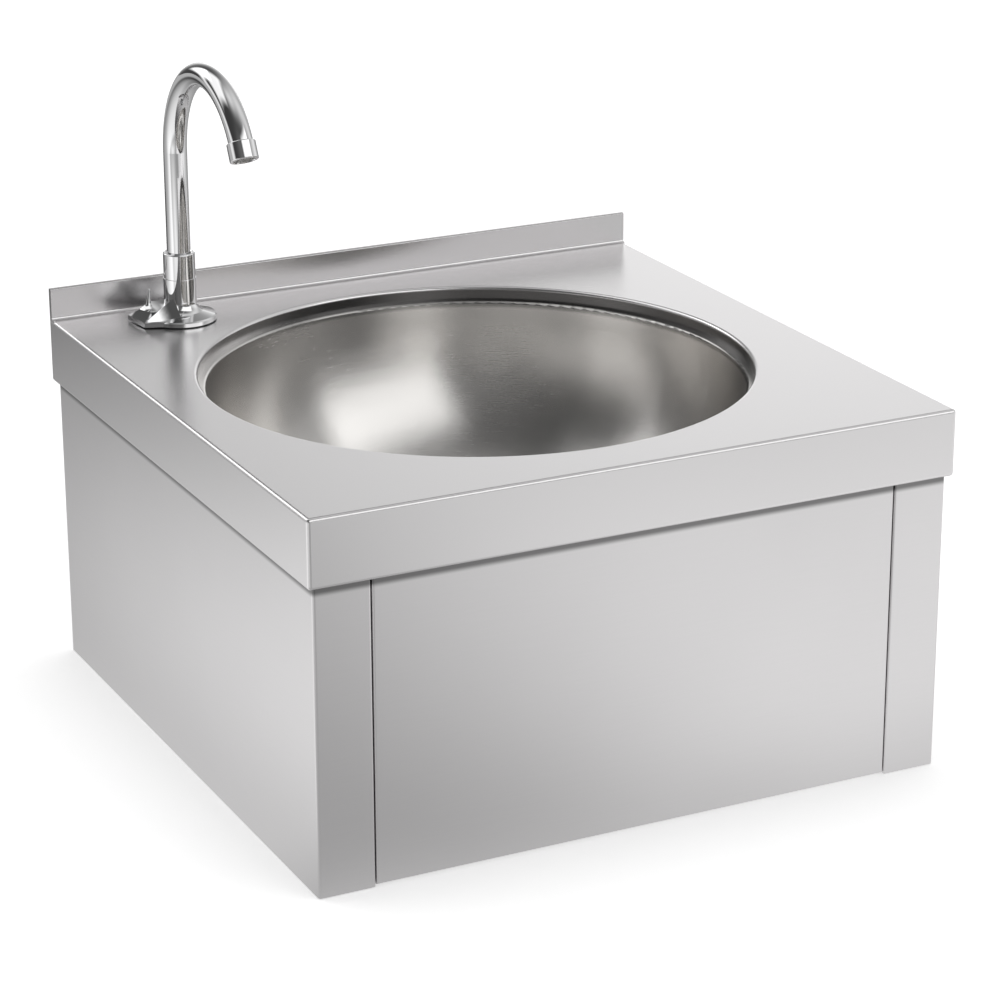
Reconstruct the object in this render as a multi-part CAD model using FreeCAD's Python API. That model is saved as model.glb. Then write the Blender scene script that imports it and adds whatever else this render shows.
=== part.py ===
import FreeCAD, Part
import math
import os

# Knee-operated wall-hung hand wash sink, folded from stainless steel sheet.
#
# X runs to the right, Y to the back (the wall) and Z up. The origin is the centre of the
# footprint, on the plane of the base. Lengths are millimetres and angles are degrees.
# The front panel between the two slits swings in about two pins under the apron and
# pushes the button of a self-closing valve, which feeds the swan-neck spout.

V = FreeCAD.Vector
X = V(1, 0, 0)
Y = V(0, 1, 0)
Z = V(0, 0, 1)
CENTRE = V(0, 0, 0)
FULL_TURN = 360.0

# How far a cutting shape reaches past the faces that it cuts.
CUT = 1.0

# ---------------------------------------------------------------- driving dimensions

# Deck: flat top, apron all round, upstand at the wall.
DECK_WIDTH = 400.0
DECK_DEPTH = 400.0
DECK_HEIGHT = 220.0
APRON_HEIGHT = 40.0
SHEET = 1.2
DECK_BEND = 2.0
HEM_GAP = 0.6
UPSTAND_HEIGHT = 20.0
UPSTAND_THICKNESS = 3.6
UPSTAND_BEND = 1.0
UPSTAND_COVE = 2.0

# Bowl: hangs in the drawn neck of the deck.
BOWL_OFFSET = -6.0
BOWL_FRONT_MARGIN = 34.0
BOWL_REAR_MARGIN = 38.0
RIM_ROUND = 2.0
NECK_DEPTH = 10.0
LEDGE_DEPTH = 8.5
LEDGE_WIDTH = 3.2
LEDGE_ROUND = 1.5
BOWL_DEPTH = 140.0
BOWL_CURVE = 118.0
BOWL_SHEET = 1.0
RECESS_RADIUS = 33.0
RECESS_DEPTH = 4.0
RECESS_SLOPE = 1.5
DRAIN_RADIUS = 22.0

# Side panels: folded round the front and back corners.
SKIRT_INSET = 3.5
SKIRT_BEND = 1.8
RETURN_WIDTH = 34.0
RETURN_FLANGE = 15.0
REAR_RETURN = 25.0
TOP_FLANGE = 12.0
BASE_FLANGE = 10.0
FLANGE_NOTCH = 14.0
SLIT = 0.6
SLIT_BEND = 1.3

# Knee panel: a shallow tray, hinged at its top corners.
PANEL_BASE_GAP = 1.0
PANEL_TOP_GAP = 13.0
PANEL_LIP = 13.0
PIVOT_DROP = 20.0
PIVOT_SETBACK = 8.0
STOP_GAP = 0.3
BUFFER_THICKNESS = 1.5
STOP_LIP_WIDTH = 7.0
STOP_LIP_HEIGHT = 40.0
STOP_LIP_RISE = 20.0
BUFFER_MARGIN = 2.0

# Pivots of the knee panel.
RUNNING = 0.05
PIN_RADIUS = 3.0
PIN_HEAD_RADIUS = 5.0
PIN_HEAD = 2.0
PIN_GROOVE = 0.7
PIN_TAIL = 1.2
BUSH_WALL = 0.95
BUSH_LENGTH = 5.0
BUSH_COLLAR_RADIUS = 5.5
BUSH_COLLAR = 1.2
CLIP_THICKNESS = 0.8
CLIP_RADIUS = 5.0
CLIP_MOUTH = 3.6
CLIP_GAP = 0.3

# Crossbar behind the knee panel and rail along the wall.
BAR_SETBACK = 78.5
BAR_RISE = 22.0
BAR_HEIGHT = 56.0
BAR_SHEET = 1.5
BAR_FLANGE = 10.0
BAR_BEND = 2.5
BAR_TAB = 20.0
BAR_TAB_MARGIN = 6.0
RAIL_RISE = 2.0
RAIL_HEIGHT = 30.0
RAIL_FLANGE = 12.0
WALL_HOLE_SPACING = 300.0
WALL_HOLE_RADIUS = 4.25
WALL_HOLE_DROP = 20.0

# Self-closing valve on the crossbar, its axis along Y.
VALVE_HEIGHT = 50.0
VALVE_RADIUS = 15.0
VALVE_LENGTH = 46.0
VALVE_CHAMFER = 2.0
STUB_RADIUS = 10.5
STUB_LENGTH = 12.0
VALVE_NUT_FLATS = 27.0
VALVE_NUT = 5.0
BONNET_RADIUS = 13.0
BONNET_LENGTH = 12.0
BONNET_LIP = 3.0
STEM_RADIUS = 4.0
STEM_REACH = 10.0
STEM_BORE = 24.0
BUTTON_RADIUS = 12.0
BUTTON_THICKNESS = 5.0
BUTTON_ROUND = 1.5
BUTTON_TRAVEL = 12.0
SPRING_LENGTH = 21.0
SPRING_WIRE = 0.6
SPRING_RADIUS = 8.0
SPRING_TURNS = 5
SPRING_SEAT_GAP = 0.3

# Pusher on the back of the knee panel: bracket and adjusting bolt.
PUSH_GAP = 0.3
BRACKET_DEPTH = 12.0
BRACKET_CROWN = 36.0
BRACKET_FOOT = 16.0
BRACKET_HEIGHT = 34.0
BRACKET_SHEET = 1.5
BRACKET_BEND = 2.0
BOLT_RADIUS = 4.0
BOLT_FLATS = 13.0
BOLT_HEAD = 5.5
BOLT_DOME = 1.2
BOLT_TAIL = 2.8
BOLT_NUT = 6.5

# Threads and fittings of the pipework: G3/8 inside the sink, G1/2 towards the wall.
PORT_RADIUS = 8.33
PORT_BORE = 5.5
PORT_BOSS = 10.0
PORT_BOSS_LENGTH = 3.0
PORT_LENGTH = 12.0
PORT_SETBACK = 24.0
PORT_BLIND = 6.0
THREAD_GAP = 0.05
INLET_RADIUS = 10.48
FITTING_FLATS = 22.0
FITTING_NUT = 16.0
FITTING_GRIP = 10.0
FITTING_LIP = 2.0
GASKET_THICKNESS = 1.6
TAIL_FLANGE_RADIUS = 8.2
TAIL_FLANGE = 2.0
TAIL_RADIUS = 6.5

# Mixer beside the valve, with the two inlets towards the wall.
MIXER_RADIUS = 13.0
MIXER_TAIL = 9.5
MIXER_LENGTH = 76.0
MIXER_CHAMFER = 2.0
INLET_SPACING = 40.0
INLET_BOSS = 13.5
INLET_BOSS_LENGTH = 5.0
NIPPLE_LENGTH = 14.0
NIPPLE_BORE = 7.5
CHECK_VALVE_LENGTH = 9.0
CHECK_VALVE_SETBACK = 2.0
CHECK_VALVE_BORE = 3.0
CHECK_VALVE_RIM = 1.5
CHECK_VALVE_CHAMFER = 1.0
KNOB_BOSS = 9.0
KNOB_BOSS_LENGTH = 4.0
KNOB_GAP = 0.4
KNOB_RADIUS = 13.0
KNOB_HEIGHT = 15.0
KNOB_FLUTES = 8
KNOB_FLUTE_RADIUS = 2.6
KNOB_FLUTE_DEPTH = 1.2
KNOB_ROUND = 1.2
KNOB_STEM_RADIUS = 3.0
KNOB_STEM = 10.0
KNOB_SCREW_RADIUS = 1.6
KNOB_SCREW_HEAD = 3.4
KNOB_SCREW_LENGTH = 14.0
KNOB_SCREW_SINK = 2.0

# Pipe from the valve to the tap, with a brazed tail at each end.
PIPE_RADIUS = 5.0
PIPE_WALL = 1.0
PIPE_BEND_FRONT = 40.0
PIPE_BEND_REAR = 40.0
TAIL_NECK = 5.4
SLEEVE_RADIUS = 6.4
SLEEVE_LENGTH = 12.0

# Tap: cast foot, collar and swivelling swan neck.
TAP_SIDE = 72.5
TAP_SETBACK = 36.0
TAP_HOLE_RADIUS = 9.5
FOOT_RADIUS = 22.0
FOOT_GASKET = 0.8
FOOT_GASKET_INSET = 1.0
FOOT_EDGE = 3.0
FOOT_DISH = 5.2
FOOT_ROUND = 0.8
FOOT_FLARE_RADIUS = 13.5
FOOT_FLARE = 13.0
FOOT_FLARE_BOW = 0.3
COLUMN_RADIUS = 10.15
COLUMN_HEIGHT = 27.0
FOOT_THREAD_DEPTH = 7.0
STUB_TOP_RADIUS = 9.0
STUB_TOP = 6.0
COLLAR_RADIUS = 9.8
COLLAR_HEIGHT = 16.0
COLLAR_ROUND = 0.8
COLLAR_LIP_RADIUS = 8.7
COLLAR_LIP_DEPTH = 1.4
SHANK_LENGTH = 42.0
TAP_SEAL = 2.0
TAP_WASHER_RADIUS = 15.0
TAP_WASHER = 1.5
TAP_LOCKNUT = 6.0
TAP_LOCKNUT_FLATS = 24.0

SPOUT_RADIUS = 7.3
SPOUT_WALL = 1.0
SPOUT_RISE = 106.1
SPOUT_BEND = 57.4
SPOUT_SWEEP = 152.9
SPOUT_START = 9.0
SPOUT_THICK_TO = 38.0
SPOUT_NARROW_BORE = 4.5
ORING_WIRE = 0.9
ORING_FIRST = 14.0
ORING_PITCH = 8.0
SNAP_RING_RADIUS = 8.2
SNAP_RING_GROOVE = 0.5
SNAP_RING_THICKNESS = 1.2
SNAP_RING_GAP = 0.3
SNAP_RING_ROOM = 2.0
SNAP_RING_SPLIT = 2.0
AERATOR_RADIUS = 8.6
AERATOR_LENGTH = 11.0
AERATOR_SOCKET = 3.0
AERATOR_FIT = 0.1
AERATOR_SEAL = 1.2
AERATOR_SEAL_WALL = 1.6
AERATOR_INSERT = 3.8
AERATOR_MOUTH = 6.4
AERATOR_ROUND = 0.6
AERATOR_HOLE = 0.9
AERATOR_RING_RADII = (0.0, 3.8)
AERATOR_RING_COUNTS = (1, 8)

# Waste: grid, clamping screw and threaded body under the bowl.
WASTE_SEAL = 1.2
WASTE_SEAL_RADIUS = 28.0
GRID_RADIUS = 30.0
GRID_SHEET = 1.6
GRID_DISH = 2.2
GRID_FLAT_RADIUS = 18.0
GRID_GAP = 0.4
GRID_HUB = 3.2
GRID_HOLE = 2.5
GRID_RING_RADII = (8.3, 14.3)
GRID_RING_COUNTS = (6, 12)
WASTE_SCREW_RADIUS = 3.0
WASTE_SCREW_HEAD = 6.0
WASTE_SCREW_HEAD_HEIGHT = 2.6
WASTE_SCREW_SLOT = 1.4
WASTE_SCREW_LENGTH = 24.0
WASTE_GASKET = 3.0
WASTE_CUP_RADIUS = 31.5
WASTE_CUP_WALL = 4.0
WASTE_CUP_HEIGHT = 9.0
WASTE_SHOULDER = 2.0
WASTE_CONE_HEIGHT = 13.0
WASTE_TAIL_RADIUS = 23.9
WASTE_TAIL_WALL = 3.2
WASTE_GROUND_GAP = 8.0
BRIDGE_ARMS = 3
BRIDGE_WIDTH = 4.0
BRIDGE_HEIGHT = 7.0
BRIDGE_BOSS = 6.5

# ---------------------------------------------------------------- derived places

HALF_WIDTH = DECK_WIDTH / 2
HALF_DEPTH = DECK_DEPTH / 2
APRON_BASE = DECK_HEIGHT - APRON_HEIGHT
UNDER_DECK = DECK_HEIGHT - SHEET
UPSTAND_TOP = DECK_HEIGHT + UPSTAND_HEIGHT

BOWL_X = BOWL_OFFSET
BOWL_RADIUS = (DECK_DEPTH - BOWL_FRONT_MARGIN - BOWL_REAR_MARGIN) / 2
BOWL_Y = BOWL_FRONT_MARGIN + BOWL_RADIUS - HALF_DEPTH
BOWL_WALL = BOWL_RADIUS - LEDGE_WIDTH - LEDGE_ROUND

SKIRT_X = HALF_WIDTH - SKIRT_INSET
SKIRT_FRONT = SKIRT_INSET - HALF_DEPTH
SKIRT_BACK = HALF_DEPTH - SHEET
SKIRT_INSIDE = SKIRT_X - SHEET
SLIT_X = SKIRT_X - RETURN_WIDTH
RETURN_X = SLIT_X + SLIT / 2

PANEL_X = SLIT_X - SLIT / 2
PANEL_INSIDE = SKIRT_FRONT + SHEET
PANEL_FLANGE = RETURN_FLANGE + STOP_GAP + BUFFER_THICKNESS + SHEET
PANEL_TOP = DECK_HEIGHT - PANEL_TOP_GAP
PIVOT_Y = SKIRT_FRONT + PIVOT_SETBACK
PIVOT_Z = DECK_HEIGHT - PIVOT_DROP

BAR_FRONT = SKIRT_FRONT + BAR_SETBACK
BAR_BACK = BAR_FRONT + BAR_SHEET
RAIL_BACK = SKIRT_BACK - SHEET
RAIL_END = SKIRT_INSIDE - (SKIRT_BEND - SHEET)

VALVE_X = 0.0
BONNET_FRONT = BAR_FRONT - VALVE_NUT - BONNET_LENGTH
BUTTON_BACK = BONNET_FRONT - SPRING_LENGTH
BUTTON_FRONT = BUTTON_BACK - BUTTON_THICKNESS
PORT_Y = BAR_BACK + PORT_SETBACK
PORT_END = VALVE_RADIUS + PORT_BOSS_LENGTH + PORT_LENGTH

TAP_X = TAP_SIDE - HALF_WIDTH
TAP_Y = HALF_DEPTH - TAP_SETBACK
SHANK_BOTTOM = DECK_HEIGHT - SHANK_LENGTH

RECESS_Z = DECK_HEIGHT - BOWL_DEPTH - RECESS_DEPTH

# ---------------------------------------------------------------- form helpers


def box(low, high):
    """Upright block between two opposite corners."""
    size = high - low
    return Part.makeBox(size.x, size.y, size.z, low)


def rod(radius, start, end):
    """Round bar between two points."""
    way = end - start
    return Part.makeCylinder(radius, way.Length, start, way)


def tube(outer, inner, start, end):
    """Round pipe between two points."""
    return rod(outer, start, end).cut(rod(inner, start, end))


def placed(shape, base, axis):
    """The shape with its own Z turned to axis and its origin moved to base."""
    shape.Placement = FreeCAD.Placement(base, FreeCAD.Rotation(Z, axis))
    return shape


def lathe(outline, base=CENTRE, axis=Z):
    """Solid turned from (radius, height) points; four numbers are an arc's middle and end."""
    edges = []
    at = V(outline[0][0], 0, outline[0][1])
    for step in list(outline[1:]) + [outline[0][:2]]:
        end = V(step[-2], 0, step[-1])
        if len(step) == 4:
            edges.append(Part.Arc(at, V(step[0], 0, step[1]), end).toShape())
        else:
            edges.append(Part.makeLine(at, end))
        at = end
    solid = Part.Face(Part.Wire(edges)).revolve(CENTRE, Z, FULL_TURN)
    return placed(solid, base, axis)


def rounding(corner, before, after, radius):
    """Middle and end of the arc that rounds a right-angled corner of an outline."""
    into = (corner[0] + before[0] * radius, corner[1] + before[1] * radius)
    out = (corner[0] + after[0] * radius, corner[1] + after[1] * radius)
    centre = (into[0] + after[0] * radius, into[1] + after[1] * radius)
    reach = radius / math.sqrt(2.0)
    middle = (centre[0] - (before[0] + after[0]) * reach, centre[1] - (before[1] + after[1]) * reach)
    return into, middle + out


def dome(radius, low, high):
    """Middle and end of the arc from a turned piece's edge, at height low, to its top."""
    rise = high - low
    sphere = (radius * radius + rise * rise) / (2 * rise)
    half = math.asin(radius / sphere) / 2
    return sphere * math.sin(half), high - sphere * (1 - math.cos(half)), 0, high


def hexagon(flats, base, axis, length):
    """Hexagonal bar with its corners turned off at both ends."""
    corner = flats / math.sqrt(3.0)
    points = [placed_point(corner, turn * 60.0) for turn in range(7)]
    bar = Part.Face(Part.makePolygon(points)).extrude(Z * length)
    trim = (corner - flats / 2) / 2
    turned = lathe([(0, 0), (corner - trim, 0), (corner, trim), (corner, length - trim),
                    (corner - trim, length), (0, length)])
    return placed(bar.common(turned), base, axis)


def placed_point(radius, angle):
    """Point at a radius and angle about the origin, in the XY plane."""
    return V(radius * math.cos(math.radians(angle)), radius * math.sin(math.radians(angle)), 0)


def nut(flats, bore, base, axis, length):
    """Hexagonal nut with a plain bore."""
    return hexagon(flats, base, axis, length).cut(rod(bore, base, base + axis * length))


def filleted_path(points, radii):
    """Edges along a line of points, with each inner corner rounded to its radius."""
    edges = []
    at = points[0]
    for before, corner, after, radius in zip(points, points[1:], points[2:], radii):
        back = (before - corner).normalize()
        ahead = (after - corner).normalize()
        half = back.getAngle(ahead) / 2
        bisector = (back + ahead).normalize()
        start = corner + back * (radius / math.tan(half))
        end = corner + ahead * (radius / math.tan(half))
        middle = corner + bisector * (radius / math.sin(half) - radius)
        edges.append(Part.makeLine(at, start))
        edges.append(Part.Arc(start, middle, end).toShape())
        at = end
    edges.append(Part.makeLine(at, points[-1]))
    return edges


def folded(points, thickness, bends, lift):
    """Folded sheet. The points run along one face, and the sheet is on their left, seen
    against lift, the direction and length that it is drawn out. Bends are outer radii."""
    normal = V(lift).normalize()
    ways = [(b - a).normalize() for a, b in zip(points, points[1:])]
    lefts = [normal.cross(way) for way in ways]
    far = [points[0] + lefts[0] * thickness]
    near_radii = []
    far_radii = []
    for corner, one, two, way, bend in zip(points[1:], lefts, lefts[1:], ways, bends):
        far.append(corner + (one + two) * (thickness / (1 + one.dot(two))))
        inward = two.dot(way) < 0
        near_radii.append(bend if inward else bend - thickness)
        far_radii.append(bend - thickness if inward else bend)
    far.append(points[-1] + lefts[-1] * thickness)
    edges = filleted_path(points, near_radii) + filleted_path(far, far_radii)
    edges.append(Part.makeLine(points[0], far[0]))
    edges.append(Part.makeLine(points[-1], far[-1]))
    wire = Part.Wire(Part.__sortEdges__(edges))
    return Part.Face(wire).extrude(lift)


def edges_where(shape, test):
    """Straight edges of a block whose two ends both pass the test."""
    found = []
    for edge in shape.Edges:
        if all(test(vertex.Point) for vertex in edge.Vertexes):
            found.append(edge)
    return found


def near(one, two):
    """Whether two lengths are the same, apart from rounding."""
    return abs(one - two) < 1e-6


def mirrored(shape):
    """The same piece on the other side of the centre plane."""
    return shape.mirror(CENTRE, X)


def pair(shape):
    """A piece and its mirror image, as two separate solids."""
    return Part.makeCompound([shape, mirrored(shape)])


def prism_loft(sections):
    """Solid with flat sides through closed polygons of equal count."""
    wires = [Part.makePolygon(section + [section[0]]) for section in sections]
    return Part.makeLoft(wires, True, True)


# ---------------------------------------------------------------- deck and bowl


def rounded_tray(low, high, radius):
    """Block with all its edges rounded, but for those of its back."""
    block = box(low, high)
    back = edges_where(block, lambda point: near(point.y, high.y))
    soft = [edge for edge in block.Edges if not any(edge.isSame(other) for other in back)]
    return block.makeFillet(radius, soft)


def deck():
    """Top, apron with hem, drawn neck and folded upstand, all of one sheet."""
    shell = rounded_tray(V(-HALF_WIDTH, -HALF_DEPTH, APRON_BASE),
                         V(HALF_WIDTH, HALF_DEPTH, DECK_HEIGHT), DECK_BEND)
    hollow = rounded_tray(
        V(SHEET - HALF_WIDTH, SHEET - HALF_DEPTH, APRON_BASE + SHEET),
        V(HALF_WIDTH - SHEET, HALF_DEPTH - SHEET, UNDER_DECK), DECK_BEND - SHEET)
    mouth_inset = SKIRT_INSET - HEM_GAP
    mouth = box(V(mouth_inset - HALF_WIDTH, mouth_inset - HALF_DEPTH, APRON_BASE - SHEET),
                V(HALF_WIDTH - mouth_inset, HALF_DEPTH - SHEET, APRON_BASE + 2 * SHEET))
    shape = shell.cut(hollow).cut(mouth).fuse(upstand())
    hole = rod(BOWL_RADIUS + RIM_ROUND, V(BOWL_X, BOWL_Y, APRON_BASE), V(BOWL_X, BOWL_Y, UPSTAND_TOP))
    shape = shape.cut(hole).fuse(neck())
    tap_hole = rod(TAP_HOLE_RADIUS, V(TAP_X, TAP_Y, APRON_BASE), V(TAP_X, TAP_Y, UPSTAND_TOP))
    shape = shape.cut(tap_hole)
    for side in (-1, 1):
        start = V(side * WALL_HOLE_SPACING / 2, HALF_DEPTH - 2 * SHEET, DECK_HEIGHT - WALL_HOLE_DROP)
        shape = shape.cut(rod(WALL_HOLE_RADIUS, start, start + Y * 3 * SHEET))
    return shape.removeSplitter()


def upstand():
    """Folded strip along the wall, hollow between its two leaves, with a cove to the deck."""
    front = HALF_DEPTH - UPSTAND_THICKNESS
    top_back, arc_back = rounding((HALF_DEPTH, UPSTAND_TOP), (0, -1), (-1, 0), UPSTAND_BEND)
    top_front, arc_front = rounding((front, UPSTAND_TOP), (1, 0), (0, -1), UPSTAND_BEND)
    _, cove = rounding((front, DECK_HEIGHT), (0, 1), (-1, 0), UPSTAND_COVE)
    outline = [(HALF_DEPTH, UNDER_DECK), top_back, arc_back, top_front, arc_front,
               (front, DECK_HEIGHT + UPSTAND_COVE), cove, (front - UPSTAND_COVE, UNDER_DECK)]
    edges = []
    at = outline[0]
    for step in outline[1:] + [outline[0]]:
        end = step[-2:]
        if len(step) == 4:
            middle = V(0, step[0], step[1])
            edges.append(Part.Arc(V(0, *at), middle, V(0, *end)).toShape())
        else:
            edges.append(Part.makeLine(V(0, *at), V(0, *end)))
        at = end
    strip = Part.Face(Part.Wire(edges)).extrude(X * DECK_WIDTH)
    strip.translate(X * -HALF_WIDTH)
    fold = box(V(SHEET - HALF_WIDTH, front + SHEET, UNDER_DECK),
               V(HALF_WIDTH - SHEET, HALF_DEPTH - SHEET, UPSTAND_TOP - SHEET))
    return strip.cut(fold)


def neck():
    """Edge of the deck, drawn down round the bowl's opening."""
    outer = BOWL_RADIUS + RIM_ROUND
    _, arc_in = rounding((BOWL_RADIUS, DECK_HEIGHT), (1, 0), (0, -1), RIM_ROUND)
    _, arc_out = rounding((BOWL_RADIUS + SHEET, UNDER_DECK), (0, -1), (1, 0), RIM_ROUND - SHEET)
    return lathe([(outer, DECK_HEIGHT), arc_in, (BOWL_RADIUS, DECK_HEIGHT - NECK_DEPTH),
                  (BOWL_RADIUS + SHEET, DECK_HEIGHT - NECK_DEPTH), (BOWL_RADIUS + SHEET, DECK_HEIGHT - RIM_ROUND),
                  arc_out], V(BOWL_X, BOWL_Y, 0))


def bowl_curve():
    """Radius from the bowl's wall to its floor, limited by the room for it."""
    across = BOWL_WALL - RECESS_RADIUS - RECESS_SLOPE - 2 * BOWL_SHEET
    down = BOWL_DEPTH - LEDGE_DEPTH - LEDGE_ROUND - BOWL_SHEET
    return min(BOWL_CURVE, across, down)


def bowl_line(grow):
    """Section of the bowl's inside, or of its outside when grow is the sheet's thickness."""
    wall = BOWL_WALL
    ledge = DECK_HEIGHT - LEDGE_DEPTH
    floor = DECK_HEIGHT - BOWL_DEPTH
    curve_z = floor + bowl_curve()
    flat = wall - bowl_curve()
    lean = math.radians(45.0)
    edge = LEDGE_ROUND - grow
    curve = bowl_curve() + grow
    return [
        (BOWL_RADIUS, ledge - grow),
        (wall + LEDGE_ROUND, ledge - grow),
        (wall + LEDGE_ROUND - edge * math.sin(lean), ledge - LEDGE_ROUND + edge * math.cos(lean),
         wall + grow, ledge - LEDGE_ROUND),
        (wall + grow, curve_z),
        (flat + curve * math.cos(lean), curve_z - curve * math.sin(lean), flat, floor - grow),
        (RECESS_RADIUS + RECESS_SLOPE + grow, floor - grow),
        (RECESS_RADIUS + grow, floor - RECESS_DEPTH - grow),
        (DRAIN_RADIUS, floor - RECESS_DEPTH - grow),
    ]


def bowl():
    """Pressed bowl with a narrow ledge under the neck and a recess for the waste."""
    outline = bowl_line(0.0) + reversed_outline(bowl_line(BOWL_SHEET))
    return lathe(outline, V(BOWL_X, BOWL_Y, 0))


def reversed_outline(steps):
    """The same outline walked from its end to its start."""
    ends = [step[-2:] for step in steps]
    back = [ends[-1]]
    for index in range(len(steps) - 1, 0, -1):
        step = steps[index]
        middle = step[:2] if len(step) == 4 else ()
        back.append(tuple(middle) + tuple(ends[index - 1]))
    return back


# ---------------------------------------------------------------- skirt, crossbar and rail


def right_side_panel():
    """Side wall with its front return, the slit's flange and the return at the wall."""
    outline = [V(RETURN_X, SKIRT_FRONT + RETURN_FLANGE, 0), V(RETURN_X, SKIRT_FRONT, 0), V(SKIRT_X, SKIRT_FRONT, 0),
               V(SKIRT_X, SKIRT_BACK, 0), V(SKIRT_X - REAR_RETURN, SKIRT_BACK, 0)]
    wall = folded(outline, SHEET, (SLIT_BEND, SKIRT_BEND, SKIRT_BEND), Z * UNDER_DECK)
    start = SKIRT_FRONT + FLANGE_NOTCH
    end = SKIRT_BACK - FLANGE_NOTCH
    top = box(V(SKIRT_X - TOP_FLANGE, start, UNDER_DECK - SHEET), V(SKIRT_INSIDE, end, UNDER_DECK))
    base = box(V(SKIRT_X - BASE_FLANGE, start, 0), V(SKIRT_INSIDE, end, SHEET))
    pin = V(RETURN_X - SHEET, PIVOT_Y, PIVOT_Z)
    pin_hole = rod(PIN_RADIUS + THREAD_GAP, pin, pin + X * (3 * SHEET))
    return wall.fuse([top, base]).cut(pin_hole).removeSplitter()


def left_side_panel():
    """Mirror image of the right side panel."""
    return mirrored(right_side_panel())


def crossbar():
    """Channel between the side panels, with end tabs, that carries the valve."""
    top = BAR_RISE + BAR_HEIGHT
    back = BAR_FRONT + BAR_FLANGE
    outline = [V(-SKIRT_INSIDE, back, top), V(-SKIRT_INSIDE, BAR_FRONT, top),
               V(-SKIRT_INSIDE, BAR_FRONT, BAR_RISE), V(-SKIRT_INSIDE, back, BAR_RISE)]
    bar = folded(outline, BAR_SHEET, (BAR_BEND, BAR_BEND), X * (2 * SKIRT_INSIDE))
    tab = box(V(SKIRT_INSIDE - BAR_SHEET, BAR_BACK - BAR_SHEET / 2, BAR_RISE + BAR_TAB_MARGIN),
              V(SKIRT_INSIDE, BAR_FRONT + BAR_TAB, top - BAR_TAB_MARGIN))
    centre = V(VALVE_X, BAR_FRONT - BAR_SHEET, VALVE_HEIGHT)
    hole = rod(STUB_RADIUS + THREAD_GAP, centre, centre + Y * (3 * BAR_SHEET))
    return bar.fuse([tab, mirrored(tab)]).cut(hole).removeSplitter()


def rear_rail():
    """Channel along the wall with the two lower fixing holes."""
    top = RAIL_RISE + RAIL_HEIGHT
    front = RAIL_BACK - RAIL_FLANGE
    outline = [V(-RAIL_END, front, RAIL_RISE), V(-RAIL_END, RAIL_BACK, RAIL_RISE),
               V(-RAIL_END, RAIL_BACK, top), V(-RAIL_END, front, top)]
    rail = folded(outline, BAR_SHEET, (BAR_BEND, BAR_BEND), X * (2 * RAIL_END))
    for side in (-1, 1):
        start = V(side * WALL_HOLE_SPACING / 2, RAIL_BACK - 2 * BAR_SHEET, RAIL_RISE + RAIL_HEIGHT / 2)
        rail = rail.cut(rod(WALL_HOLE_RADIUS, start, start + Y * (3 * BAR_SHEET)))
    return rail


# ---------------------------------------------------------------- knee panel and its hinge


def knee_panel():
    """Tray with side flanges for the pivots, and stop lips behind the side panels' flanges."""
    low = V(-PANEL_X, SKIRT_FRONT, PANEL_BASE_GAP)
    high = V(PANEL_X, SKIRT_FRONT + PANEL_FLANGE, PANEL_TOP)
    tray = box(low, high)
    front_edges = edges_where(tray, lambda p: near(p.y, SKIRT_FRONT))
    tray = tray.makeFillet(SLIT_BEND, front_edges)
    inset = V(SHEET, SHEET, SHEET)
    hollow = box(low + inset, V(PANEL_X - SHEET, high.y + SHEET, PANEL_TOP - SHEET))
    tray = tray.cut(hollow)
    notch = box(V(SHEET - PANEL_X, SKIRT_FRONT + PANEL_LIP, 0), V(PANEL_X - SHEET, high.y + SHEET, PANEL_TOP + SHEET))
    tray = tray.cut(notch)
    lip = box(V(PANEL_X - SHEET, high.y - SHEET, STOP_LIP_RISE),
              V(PANEL_X + STOP_LIP_WIDTH, high.y, STOP_LIP_RISE + STOP_LIP_HEIGHT))
    shape = tray.fuse([lip, mirrored(lip)])
    for side in (-1, 1):
        start = V(side * (PANEL_X - 2 * SHEET), PIVOT_Y, PIVOT_Z)
        shape = shape.cut(rod(PIN_RADIUS + RUNNING + BUSH_WALL, start, start + X * (side * 3 * SHEET)))
    return shape.removeSplitter()


def pivot_pins():
    """Headed pins, put in from the outer side of the side panels' flanges."""
    groove = RETURN_X + SHEET + PIN_HEAD - (PANEL_X - BUSH_LENGTH) + CLIP_GAP
    inner = PIN_RADIUS - PIN_GROOVE
    end = groove + CLIP_THICKNESS + PIN_TAIL
    pin = lathe([(0, 0), (PIN_HEAD_RADIUS, 0), (PIN_HEAD_RADIUS, PIN_HEAD), (PIN_RADIUS, PIN_HEAD),
                 (PIN_RADIUS, groove), (inner, groove), (inner, groove + CLIP_THICKNESS),
                 (PIN_RADIUS, groove + CLIP_THICKNESS), (PIN_RADIUS, end), (0, end)],
                V(RETURN_X + SHEET + PIN_HEAD, PIVOT_Y, PIVOT_Z), X * -1)
    return pair(pin)


def pivot_bushes():
    """Collared nylon bushes in the knee panel's flanges."""
    bore = PIN_RADIUS + RUNNING
    barrel = bore + BUSH_WALL
    bush = lathe([(bore, 0), (barrel, 0), (barrel, SHEET), (BUSH_COLLAR_RADIUS, SHEET),
                  (BUSH_COLLAR_RADIUS, SHEET + BUSH_COLLAR), (barrel, SHEET + BUSH_COLLAR),
                  (barrel, BUSH_LENGTH), (bore, BUSH_LENGTH)], V(PANEL_X, PIVOT_Y, PIVOT_Z), X * -1)
    return pair(bush)


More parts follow.
